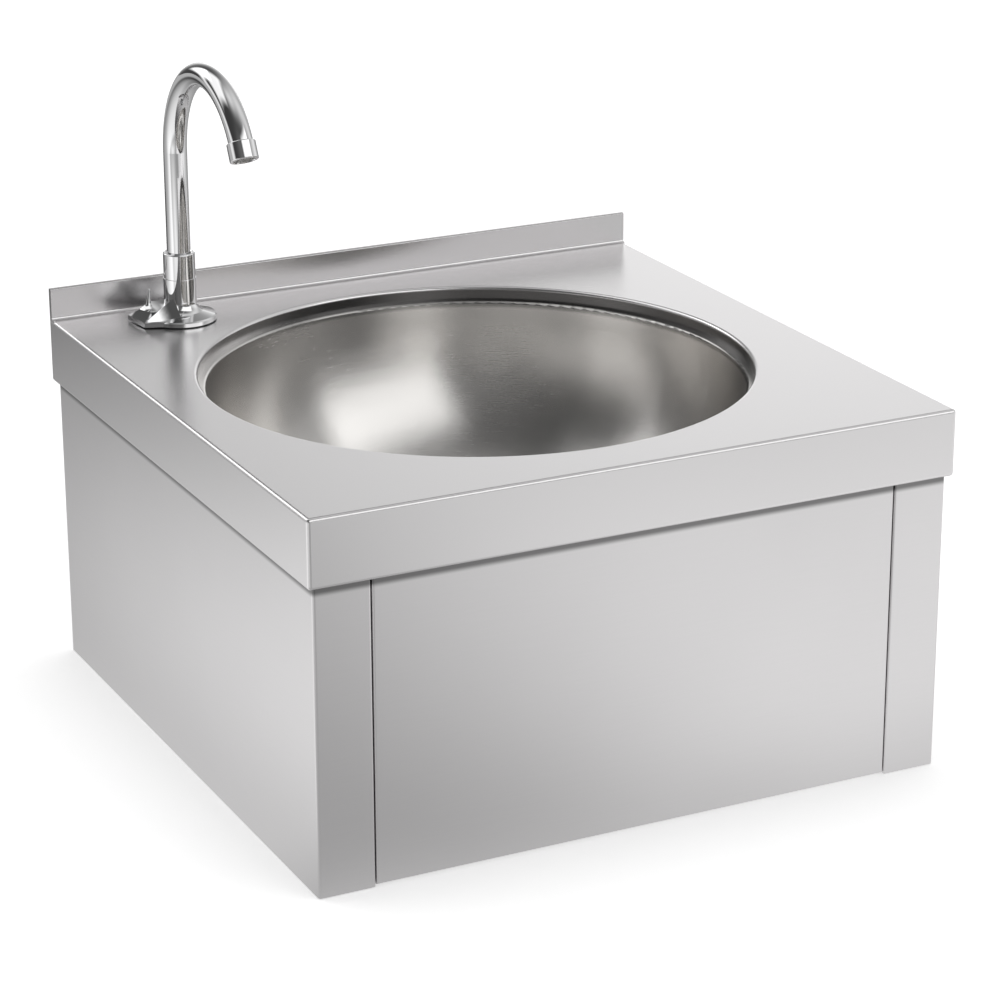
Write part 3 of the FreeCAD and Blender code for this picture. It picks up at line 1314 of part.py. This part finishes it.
PIECES = (
    deck, bowl, left_side_panel, right_side_panel, crossbar, rear_rail,
    knee_panel, pivot_pins, pivot_bushes, pivot_clips, stop_buffers,
    pusher_bracket, pusher_bolt, pusher_nuts,
    valve_body, valve_nut, valve_bonnet, valve_button, valve_spring,
    union_nut, union_gasket, mixer_body, inlet_nipples, check_valves, mixer_knob, knob_screw,
    supply_pipe, pipe_tails, pipe_nuts, pipe_gaskets,
    tap_foot, tap_gasket, tap_collar, tap_shank, tap_seal, tap_washer, tap_locknut,
    spout, spout_orings, spout_snap_ring, aerator_housing, aerator_seal, aerator_insert,
    waste_seal, waste_grid, waste_screw, waste_gasket, waste_body,
)


def main():
    """Write one STEP file per piece, or group of like pieces."""
    os.makedirs("parts", exist_ok=True)
    for piece in PIECES:
        shape = piece()
        if not shape.isValid():
            print("not valid:", piece.__name__)
        shape.exportStep(os.path.join("parts", piece.__name__ + ".step"))
        print(piece.__name__, len(shape.Solids), round(shape.Volume))


main()
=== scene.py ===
import math

import bpy
from mathutils import Matrix, Vector


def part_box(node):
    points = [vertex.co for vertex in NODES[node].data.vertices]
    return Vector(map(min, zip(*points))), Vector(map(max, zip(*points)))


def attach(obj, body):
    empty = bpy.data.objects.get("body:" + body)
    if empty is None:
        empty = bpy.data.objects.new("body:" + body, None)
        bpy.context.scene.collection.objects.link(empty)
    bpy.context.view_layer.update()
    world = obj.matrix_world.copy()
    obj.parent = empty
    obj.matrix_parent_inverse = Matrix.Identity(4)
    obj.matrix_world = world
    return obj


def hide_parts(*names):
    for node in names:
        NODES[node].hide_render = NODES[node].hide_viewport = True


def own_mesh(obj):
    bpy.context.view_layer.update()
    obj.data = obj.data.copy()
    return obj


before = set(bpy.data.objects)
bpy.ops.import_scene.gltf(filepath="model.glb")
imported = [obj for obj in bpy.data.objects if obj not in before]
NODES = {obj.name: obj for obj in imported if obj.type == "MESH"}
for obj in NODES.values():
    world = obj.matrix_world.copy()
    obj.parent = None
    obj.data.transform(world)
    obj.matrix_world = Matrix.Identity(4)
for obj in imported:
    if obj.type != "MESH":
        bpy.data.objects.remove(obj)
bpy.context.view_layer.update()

# The photograph is taken from the front left, a little above the deck.
VIEW_AZIMUTH = math.radians(-26.38)
VIEW_ELEVATION = math.radians(19.95)
VIEW_ROLL = math.radians(-0.14)
VIEW_PLACE = Vector((-0.8239, -1.6821, 0.81325))
LENS = 119.5
SENSOR_WIDTH = 36.0
CLIP_START = 0.05
CLIP_END = 40.0

# Places on the object, from the frame.
LEDGE_DEPTH = 0.0085
BOWL_LOW, BOWL_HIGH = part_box("bowl")
BOWL_CENTRE = (BOWL_LOW + BOWL_HIGH) / 2
BOWL_REACH = (BOWL_HIGH.x - BOWL_LOW.x) / 2
DECK_TOP = BOWL_HIGH.z + LEDGE_DEPTH
APRON_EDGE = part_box("deck")[0].z

MILLIMETRE = 0.001


# ---------------------------------------------------------------- shader graphs

# Most values of a noise lie between these two.
NOISE_LOW = 0.3
NOISE_HIGH = 0.7


class Graph:
    """Short ways to write a node tree."""

    def __init__(self, owner):
        owner.use_nodes = True
        self.tree = owner.node_tree
        self.tree.nodes.clear()

    def node(self, kind, inputs=None, **settings):
        made = self.tree.nodes.new("ShaderNode" + kind)
        for key, value in settings.items():
            setattr(made, key, value)
        for key, value in (inputs or {}).items():
            self.put(made.inputs[key], value)
        return made

    def put(self, socket, value):
        if isinstance(value, bpy.types.NodeSocket):
            self.tree.links.new(value, socket)
        elif isinstance(value, bpy.types.Node):
            self.tree.links.new(value.outputs[0], socket)
        else:
            socket.default_value = value

    def math(self, operation, *values, clamp=False):
        return self.node("Math", dict(enumerate(values)), operation=operation, use_clamp=clamp).outputs[0]

    def product(self, first, *others):
        for other in others:
            first = self.math("MULTIPLY", first, other)
        return first

    def vector(self, operation, *values):
        return self.node("VectorMath", dict(enumerate(values)), operation=operation)

    def length(self, vector):
        return self.vector("LENGTH", vector).outputs["Value"]

    def dot(self, one, two):
        return self.vector("DOT_PRODUCT", one, two).outputs["Value"]

    def parts(self, vector):
        """The X, Y and Z of a vector."""
        return self.node("SeparateXYZ", {0: vector}).outputs

    def place(self):
        """The place on the object, in metres."""
        return self.node("TexCoord").outputs["Object"]

    def ramp(self, value, low, high, start=0.0, end=1.0, smooth=True):
        """Start up to the value low, end from the value high on, and a change between them."""
        kind = "SMOOTHSTEP" if smooth else "LINEAR"
        ends = {"Value": value, "From Min": low, "From Max": high, "To Min": start, "To Max": end}
        return self.node("MapRange", ends, interpolation_type=kind).outputs[0]

    def vary(self, noise, middle, reach):
        """A noise spread evenly over a range round its middle."""
        return self.ramp(noise, NOISE_LOW, NOISE_HIGH, middle - reach, middle + reach, smooth=False)

    def noise(self, scale, stretch=(1, 1, 1), detail=3.0, roughness=0.6):
        mapped = self.node("Mapping", {"Vector": self.place(), "Scale": stretch})
        settings = {"Vector": mapped, "Scale": scale, "Detail": detail, "Roughness": roughness}
        return self.node("TexNoise", settings).outputs[0]

    def tinted(self, colour, tint):
        return self.node("VectorMath", {0: colour, "Scale": tint}, operation="SCALE").outputs[0]

    def bump(self, height, relief):
        """Surface relief of a height, in millimetres."""
        return self.node("Bump", {"Strength": 1.0, "Distance": relief * MILLIMETRE, "Height": height})


def grey(level):
    return (level, level, level, 1.0)


def material(name):
    made = bpy.data.materials.new(name)
    return made, Graph(made)


def finish(graph, shader):
    graph.node("OutputMaterial", {"Surface": shader})


# ---------------------------------------------------------------- grain

SHEET_STRETCH = 0.03
FACES_SIDEWAYS = 0.7
SPUN_STREAKS = 9.0
SPUN_ROUGHNESS = 0.65


def along_sheet(graph, scale):
    """Brushed lines that run level on every face of a folded sheet."""
    front = graph.noise(scale, (SHEET_STRETCH, 1.0, 1.0))
    side = graph.noise(scale, (1.0, SHEET_STRETCH, 1.0))
    normal = graph.parts(graph.node("NewGeometry").outputs["Normal"])
    turned = graph.math("GREATER_THAN", graph.math("ABSOLUTE", normal[0]), FACES_SIDEWAYS)
    return graph.node("Mix", {"Factor": turned, 2: front, 3: side}).outputs[0]


def from_bowl_axis(graph, place):
    """Level vector from the bowl's axis."""
    moved = graph.vector("SUBTRACT", place, (BOWL_CENTRE.x, BOWL_CENTRE.y, 0.0))
    return graph.vector("MULTIPLY", moved, (1.0, 1.0, 0.0))


def spun(graph, scale):
    """Fine rings round the bowl's axis, broken into short streaks."""
    place = graph.place()
    level = from_bowl_axis(graph, place)
    turn = graph.parts(graph.vector("NORMALIZE", level))
    down = graph.math("MULTIPLY", graph.math("ADD", graph.parts(place)[2], graph.length(level)), scale)
    streaks = [graph.math("MULTIPLY", turn[axis], SPUN_STREAKS) for axis in (0, 1)]
    mapped = graph.node("CombineXYZ", dict(enumerate((*streaks, down))))
    settings = {"Vector": mapped, "Scale": 1.0, "Detail": 3.0, "Roughness": SPUN_ROUGHNESS}
    return graph.node("TexNoise", settings).outputs[0]


def cast(graph, scale):
    """Even fine mottle of a cast, turned or plated surface."""
    return graph.noise(scale)


# ---------------------------------------------------------------- zones of painted shade

# Upstand: heights over the deck between which its painted shade sets in.
UPSTAND_BAND = (0.0008, 0.0028)
UPSTAND_PAINTED_SHADE = 0.74

# Neck: depths under the deck between which its painted shade sets in, and places beside the bowl's axis
# between which it grows.
NECK_BAND = (0.0012, 0.0024)
NECK_SIDE = (-0.13, -0.04)
NECK_MARGIN = 0.004
NECK_PAINTED_SHADE = 0.80

# Ledge: depths under the bowl's top and places beside its axis, as for the neck; its painted shade damps the
# highlight on the rounded edge.
LEDGE_BAND = (0.0045, 0.0020)
LEDGE_SIDE = (-0.124, -0.034)
LEDGE_PAINTED_SHADE = 0.45

# Skirt: depths under the apron's edge between which the painted shadow line fades in.
SKIRT_BAND = (0.0060, 0.0024)
SKIRT_PAINTED_SHADOW = 0.30


def band(graph, height, base, depths, *levels):
    return graph.ramp(height, base - depths[0], base - depths[1], *levels)


def growing(graph, across, side):
    """From nothing to all, left to right, beside the bowl's axis."""
    return graph.ramp(across, BOWL_CENTRE.x + side[0], BOWL_CENTRE.x + side[1])


def deck_painted_shade(graph):
    """Painted shade on the upstand and on the drawn neck under the bowl's rim, darkest at its rear."""
    place = graph.place()
    across, _, height = graph.parts(place)
    # Painted shade: the upstand's colour is darkened to dim the reflection it shows.
    upstand = graph.ramp(height, DECK_TOP + UPSTAND_BAND[0], DECK_TOP + UPSTAND_BAND[1], 1.0, UPSTAND_PAINTED_SHADE)
    away = graph.length(from_bowl_axis(graph, place))
    inside = graph.math("LESS_THAN", away, BOWL_REACH + NECK_MARGIN)
    under = band(graph, height, DECK_TOP, NECK_BAND)
    shade = graph.product(inside, under, growing(graph, across, NECK_SIDE), NECK_PAINTED_SHADE)
    return graph.math("MULTIPLY", upstand, graph.math("SUBTRACT", 1.0, shade))


def bowl_painted_shade(graph):
    """Painted shade on the bowl's ledge and its rounded edge, at the rear and the right, that damps their
    highlight.
    """
    across, _, height = graph.parts(graph.place())
    ledge = band(graph, height, BOWL_HIGH.z, LEDGE_BAND)
    shade = graph.product(ledge, growing(graph, across, LEDGE_SIDE), LEDGE_PAINTED_SHADE)
    return graph.math("SUBTRACT", 1.0, shade)


def skirt_painted_shadow(graph):
    """A painted shadow line on the cabinet, tight under the edge of the deck's apron."""
    height = graph.parts(graph.place())[2]
    return band(graph, height, APRON_EDGE, SKIRT_BAND, 1.0, SKIRT_PAINTED_SHADOW)


# ---------------------------------------------------------------- materials

SHEET_COLOUR = (0.800, 0.788, 0.792)
BOWL_COLOUR = (0.76, 0.745, 0.725)
BRUSHED_WAY = 0.25
CLOUD_DETAIL = 2.0
CLOUD_ROUGHNESS = 0.5
PLAIN_SPREAD = 0.05


def metal(name, colour, roughness, grain, grain_scale, lines, relief=0.0, spread=0.04, cloud=0.012,
          cloud_scale=9.0, brushed=0.0, painted_shade=None):
    """Metal with a fine grain in its colour, gloss and surface, and a slow change of colour and gloss."""
    made, graph = material(name)
    fine = grain(graph, grain_scale)
    slow = graph.noise(cloud_scale, detail=CLOUD_DETAIL, roughness=CLOUD_ROUGHNESS)
    tint = graph.math("MULTIPLY", graph.vary(slow, 1.0, cloud), graph.vary(fine, 1.0, lines))
    # Painted shade of the zone, where one is given, darkens the colour here.
    if painted_shade:
        tint = graph.math("MULTIPLY", tint, painted_shade(graph))
    gloss = graph.math("ADD", graph.vary(slow, roughness, spread), graph.vary(fine, 0.0, spread), clamp=True)
    shader = graph.node("BsdfPrincipled", {
        "Base Color": graph.tinted(colour, tint),
        "Metallic": 1.0,
        "Roughness": gloss,
        "Anisotropic": brushed,
        "Anisotropic Rotation": BRUSHED_WAY,
    })
    if relief:
        graph.put(shader.inputs["Normal"], graph.bump(fine, relief))
    finish(graph, shader)
    return made


def folded_sheet(name, roughness, lines, cloud, painted_shade):
    """Finely brushed sheet of the deck and the cabinet."""
    return metal(name, SHEET_COLOUR, roughness, along_sheet, 1200.0, lines, spread=0.001, cloud=cloud,
                 painted_shade=painted_shade)


def plain(name, colour, roughness, speckle=0.08, scale=300.0, relief=0.05):
    """Moulded plastic, rubber or fibre: a fine speckle in its colour, gloss and surface."""
    made, graph = material(name)
    value = graph.noise(scale)
    shader = graph.node("BsdfPrincipled", {
        "Base Color": graph.tinted(colour, graph.vary(value, 1.0, speckle)),
        "Roughness": graph.vary(value, roughness, PLAIN_SPREAD),
        "Normal": graph.bump(value, relief),
    })
    finish(graph, shader)
    return made


# The deck carries painted shade on its upstand and on the bowl's neck.
deck_steel = folded_sheet("deck_steel", 0.27, 0.004, 0.004, deck_painted_shade)
# The side panels and the knee panel carry the painted shadow line under the apron.
side_steel = folded_sheet("side_steel", 0.34, 0.006, 0.012, skirt_painted_shadow)
panel_steel = folded_sheet("panel_steel", 0.34, 0.006, 0.012, skirt_painted_shadow)
# The bowl carries painted shade on its ledge and rounded edge.
bowl_steel = metal("bowl_steel", BOWL_COLOUR, 0.26, spun, 1100.0, 0.016, spread=0.010, brushed=0.7,
                   painted_shade=bowl_painted_shade)
bracket_steel = metal("bracket_steel", (0.62, 0.62, 0.61), 0.38, along_sheet, 700.0, 0.03, relief=0.01)
chrome = metal("chrome", (0.80, 0.80, 0.805), 0.035, cast, 120.0, 0.004, spread=0.01)
waste_chrome = metal("waste_chrome", (0.80, 0.80, 0.79), 0.16, cast, 500.0, 0.02, relief=0.003)
zinc = metal("zinc", (0.66, 0.67, 0.69), 0.34, cast, 400.0, 0.05, relief=0.02, spread=0.08)
spring_steel = metal("spring_steel", (0.50, 0.50, 0.50), 0.32, cast, 700.0, 0.03, relief=0.01)
brass = metal("brass", (0.80, 0.64, 0.34), 0.27, cast, 500.0, 0.05, relief=0.01, spread=0.06, cloud=0.04,
              cloud_scale=60.0)
copper = metal("copper", (0.78, 0.46, 0.32), 0.30, cast, 300.0, 0.06, relief=0.01, spread=0.08, cloud=0.08,
               cloud_scale=40.0)
rubber = plain("rubber", (0.03, 0.03, 0.032), 0.6)
fibre = plain("fibre", (0.42, 0.13, 0.08), 0.75, speckle=0.25)
nylon = plain("nylon", (0.80, 0.80, 0.76), 0.42)
knob_plastic = plain("knob_plastic", (0.035, 0.035, 0.04), 0.42)
waste_plastic = plain("waste_plastic", (0.74, 0.74, 0.72), 0.38)

LOOKS = {
    deck_steel: ("deck",),
    side_steel: ("left_side_panel", "right_side_panel"),
    panel_steel: ("knee_panel",),
    bowl_steel: ("bowl",),
    bracket_steel: ("crossbar", "rear_rail", "pusher_bracket", "pivot_pins", "pivot_clips", "tap_washer"),
    chrome: ("tap_foot", "tap_collar", "spout", "aerator_housing"),
    waste_chrome: ("waste_grid", "waste_screw"),
    zinc: ("pusher_bolt", "pusher_nuts", "knob_screw"),
    spring_steel: ("valve_spring", "spout_snap_ring"),
    brass: ("valve_body", "valve_nut", "valve_bonnet", "valve_button", "union_nut", "mixer_body",
            "inlet_nipples", "pipe_nuts", "pipe_tails", "tap_shank", "tap_locknut"),
    copper: ("supply_pipe",),
    rubber: ("stop_buffers", "tap_gasket", "tap_seal", "spout_orings", "aerator_seal", "waste_seal",
             "waste_gasket"),
    fibre: ("union_gasket", "pipe_gaskets"),
    nylon: ("pivot_bushes", "check_valves", "aerator_insert"),
    knob_plastic: ("mixer_knob",),
    waste_plastic: ("waste_body",),
}

for look, names in LOOKS.items():
    for name in names:
        for place in NODES[name].material_slots:
            place.material = look

# ---------------------------------------------------------------- return spring

# Wire radius, free turns, and the closed turns at each end with their pitch.
SPRING_WIRE = 0.0006
SPRING_TURNS = 5
SPRING_END_TURNS = 0.75
SPRING_END_PITCH = 0.00125
SPRING_STEPS = 36
SPRING_SIDES = 10


def link(name, mesh):
    made = bpy.data.objects.new(name, mesh)
    bpy.context.scene.collection.objects.link(made)
    return made


def spring_line(low, high):
    """Points along the middle of the wire, from the back to the front."""
    centre = (low + high) / 2
    reach = (high.x - low.x) / 2 - SPRING_WIRE
    front, back = low.y + SPRING_WIRE, high.y - SPRING_WIRE
    pitch = (back - front - 2 * SPRING_END_TURNS * SPRING_END_PITCH) / SPRING_TURNS
    turns = SPRING_TURNS + 2 * SPRING_END_TURNS
    count = round(turns * SPRING_STEPS)
    points = []
    for step in range(count + 1):
        turn = turns * step / count
        first = min(turn, SPRING_END_TURNS)
        middle = min(max(turn - SPRING_END_TURNS, 0.0), SPRING_TURNS)
        last = max(turn - SPRING_END_TURNS - SPRING_TURNS, 0.0)
        along = back - (first + last) * SPRING_END_PITCH - middle * pitch
        angle = 2 * math.pi * turn
        points.append(Vector((centre.x + reach * math.cos(angle), along, centre.z + reach * math.sin(angle))))
    return points


def wire_mesh(points, centre):
    """Round wire along a line that winds about a level axis through the centre."""
    last = len(points) - 1
    vertices, faces = [], []
    for step, point in enumerate(points):
        ahead = (points[min(step + 1, last)] - points[max(step - 1, 0)]).normalized()
        outward = Vector((point.x - centre.x, 0.0, point.z - centre.z)).normalized()
        aside = ahead.cross(outward).normalized()
        for side in range(SPRING_SIDES):
            angle = 2 * math.pi * side / SPRING_SIDES
            vertices.append(point + SPRING_WIRE * (math.cos(angle) * outward + math.sin(angle) * aside))
    for step in range(last):
        near, far = step * SPRING_SIDES, (step + 1) * SPRING_SIDES
        for side in range(SPRING_SIDES):
            after = (side + 1) % SPRING_SIDES
            faces.append((near + side, near + after, far + after, far + side))
    faces.append(tuple(reversed(range(SPRING_SIDES))))
    faces.append(tuple(last * SPRING_SIDES + side for side in range(SPRING_SIDES)))
    mesh = bpy.data.meshes.new("return_spring")
    mesh.from_pydata(vertices, [], faces)
    mesh.polygons.foreach_set("use_smooth", [len(face) == 4 for face in faces])
    return mesh


def return_spring():
    """Wound spring with closed ends, in the place of the valve spring."""
    low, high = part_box("valve_spring")
    centre = (low + high) / 2
    mesh = wire_mesh(spring_line(low, high), centre)
    mesh.materials.append(spring_steel)
    made = link("return_spring", mesh)
    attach(made, "root")
    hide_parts("valve_spring")
    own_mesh(made)


return_spring()

# ---------------------------------------------------------------- studio

AMBIENT = 0.05

# Azimuth, elevation, width and strength of each soft light.
GLOWS = (
    (30, 3, 32, 1.55),
    (90, 4, 40, 0.80),
    (120, 4, 30, 0.50),
    (45, 26, 30, 0.15),
    (85, 50, 50, 0.70),
    (212, 22, 40, 0.12),
    (0, 88, 30, 0.60),
)

# Azimuth, elevation, width, height, soft edge and strength of each box of light.
BOXES = (
    (159, 29, 58, 38, 12, 1.25),
    (322, 46, 44, 44, 14, 1.10),
    (339, 23, 24, 30, 8, 1.30),
    (285, 4, 90, 12, 8, 0.90),
)


def toward(azimuth, elevation):
    """Way to a place in the sky, in degrees clockwise from the wall and above level."""
    turn, rise = math.radians(azimuth), math.radians(elevation)
    return math.sin(turn) * math.cos(rise), math.cos(turn) * math.cos(rise), math.sin(rise)


def glow(graph, way, azimuth, elevation, width, strength):
    """Soft round light: half as strong at half its width from the middle."""
    fall = math.log(2.0) / (1.0 - math.cos(math.radians(width / 2)))
    past = graph.math("SUBTRACT", graph.dot(way, toward(azimuth, elevation)), 1.0)
    return graph.math("MULTIPLY", graph.math("EXPONENT", graph.math("MULTIPLY", past, fall)), strength)


def softbox(graph, way, azimuth, elevation, width, height, edge, strength):
    """Rectangle of light in the sky. The sizes and the soft edge are in degrees."""
    light = graph.math("GREATER_THAN", graph.dot(way, toward(azimuth, elevation)), 0.0)
    across = toward(azimuth + 90, 0)
    above = toward(azimuth, elevation + 90)
    for axis, size in ((across, width), (above, height)):
        away = graph.math("ABSOLUTE", graph.dot(way, axis))
        outer, inner = (math.sin(math.radians((size + rim) / 2)) for rim in (edge, -edge))
        light = graph.math("MULTIPLY", light, graph.ramp(away, outer, inner))
    return graph.math("MULTIPLY", light, strength)


def studio():
    """Lights on the object, and plain white behind it for the camera."""
    world = bpy.data.worlds.new("studio")
    bpy.context.scene.world = world
    graph = Graph(world)
    way = graph.node("TexCoord").outputs["Generated"]
    light = AMBIENT
    for soft in GLOWS:
        light = graph.math("ADD", light, glow(graph, way, *soft))
    for box in BOXES:
        light = graph.math("ADD", light, softbox(graph, way, *box))
    camera_ray = graph.node("LightPath").outputs["Is Camera Ray"]
    strength = graph.node("Mix", {"Factor": camera_ray, 2: light, 3: 1.0}).outputs[0]
    back = graph.node("Background", {"Color": grey(1.0), "Strength": strength})
    graph.node("OutputWorld", {"Surface": back})


# ---------------------------------------------------------------- floor

FLOOR_REACH = 6.0
FLOOR_LEVEL = -0.0006
FLOOR_SHOWN = 0.9
FLOOR_LIT = 0.8

# As a mirror sees the floor: two places in metres between which its brightness changes, and the two levels.
BESIDE_DEEP = (0.75, -0.05, 0.50, 0.98)
BESIDE_WIDE = (-0.21, -0.34, 0.70, 1.0)
AHEAD_WIDE = (-0.15, 0.20, 0.42, 0.93)
AHEAD_CLOSE = (-0.21, -0.33, 0.92, 1.0)
AHEAD_FAR = (-0.80, -0.55, 0.78, 1.0)
AHEAD_FROM = (-0.10, -0.30)

# Centre, radius and strength of each light patch there.
PATCHES = (
    ((-0.8, -0.6), 0.30, 0.60),
    ((-1.1, 0.0), 0.40, 0.25),
    ((0.8, -1.6), 0.60, 0.20),
)

# Centre, radius and depth of the dark patch that draws the edge of the tap's column.
DARK_PATCH = ((-0.4, 1.2), 0.35, 0.90)

# Shadow of the object: how far it reaches, and the floor's own light from its deepest to its end.
SHADOW_REACH = 0.10
SHADOW_SAMPLES = 8
SHADOW_LEVELS = (0.3, 1.0, 0.42, 0.64)


def patch(graph, place, centre, radius, strength):
    """Soft round patch of light on the floor."""
    away = graph.length(graph.vector("SUBTRACT", place, (centre[0], centre[1], 0.0)))
    power = graph.product(away, away, -math.log(2.0) / radius ** 2)
    return graph.math("MULTIPLY", graph.math("EXPONENT", power), strength)


def mirrored_floor(graph):
    """Brightness of the floor beside the cabinet and ahead of it, as metal mirrors it."""
    place = graph.place()
    across, deep, _ = graph.parts(place)
    beside = graph.product(graph.ramp(deep, *BESIDE_DEEP), graph.ramp(across, *BESIDE_WIDE),
                           graph.math("SUBTRACT", 1.0, patch(graph, place, *DARK_PATCH)))
    ahead = graph.product(graph.ramp(across, *AHEAD_WIDE), graph.ramp(deep, *AHEAD_CLOSE),
                          graph.ramp(deep, *AHEAD_FAR))
    bright = graph.node("Mix", {"Factor": graph.ramp(deep, *AHEAD_FROM), 2: beside, 3: ahead}).outputs[0]
    for spot in PATCHES:
        bright = graph.math("ADD", bright, patch(graph, place, *spot))
    return bright


def floor():
    """Pale floor that keeps the object's shadow."""
    mesh = bpy.data.meshes.new("floor")
    ways = ((-1, -1), (1, -1), (1, 1), (-1, 1))
    corners = [(x * FLOOR_REACH, y * FLOOR_REACH, FLOOR_LEVEL) for x, y in ways]
    mesh.from_pydata(corners, [], [(0, 1, 2, 3)])
    made = link("floor", mesh)
    look, graph = material("floor")
    path = graph.node("LightPath")
    near = graph.node("AmbientOcclusion", {"Distance": SHADOW_REACH}, samples=SHADOW_SAMPLES).outputs["AO"]
    shown = graph.node("AddShader", {
        0: graph.node("BsdfDiffuse", {"Color": grey(FLOOR_SHOWN)}),
        1: graph.node("Emission", {"Strength": graph.ramp(near, *SHADOW_LEVELS)}),
    })
    mirrored = graph.node("Emission", {"Color": grey(1.0), "Strength": mirrored_floor(graph)})
    lit = graph.node("BsdfDiffuse", {"Color": grey(FLOOR_LIT)})
    unseen = graph.node("MixShader", {0: path.outputs["Is Glossy Ray"], 1: lit, 2: mirrored})
    finish(graph, graph.node("MixShader", {0: path.outputs["Is Camera Ray"], 1: unseen, 2: shown}))
    mesh.materials.append(look)


# ---------------------------------------------------------------- camera


def camera():
    lens = bpy.data.cameras.new("camera")
    lens.lens = LENS
    lens.sensor_width = SENSOR_WIDTH
    lens.clip_start = CLIP_START
    lens.clip_end = CLIP_END
    made = link("camera", lens)
    turn = (Matrix.Rotation(VIEW_AZIMUTH, 4, "Z") @ Matrix.Rotation(math.pi / 2 - VIEW_ELEVATION, 4, "X")
            @ Matrix.Rotation(VIEW_ROLL, 4, "Z"))
    made.matrix_world = Matrix.Translation(VIEW_PLACE) @ turn
    bpy.context.scene.camera = made


studio()
floor()
camera()
bpy.context.scene.view_settings.view_transform = "Standard"

bpy.context.view_layer.update()
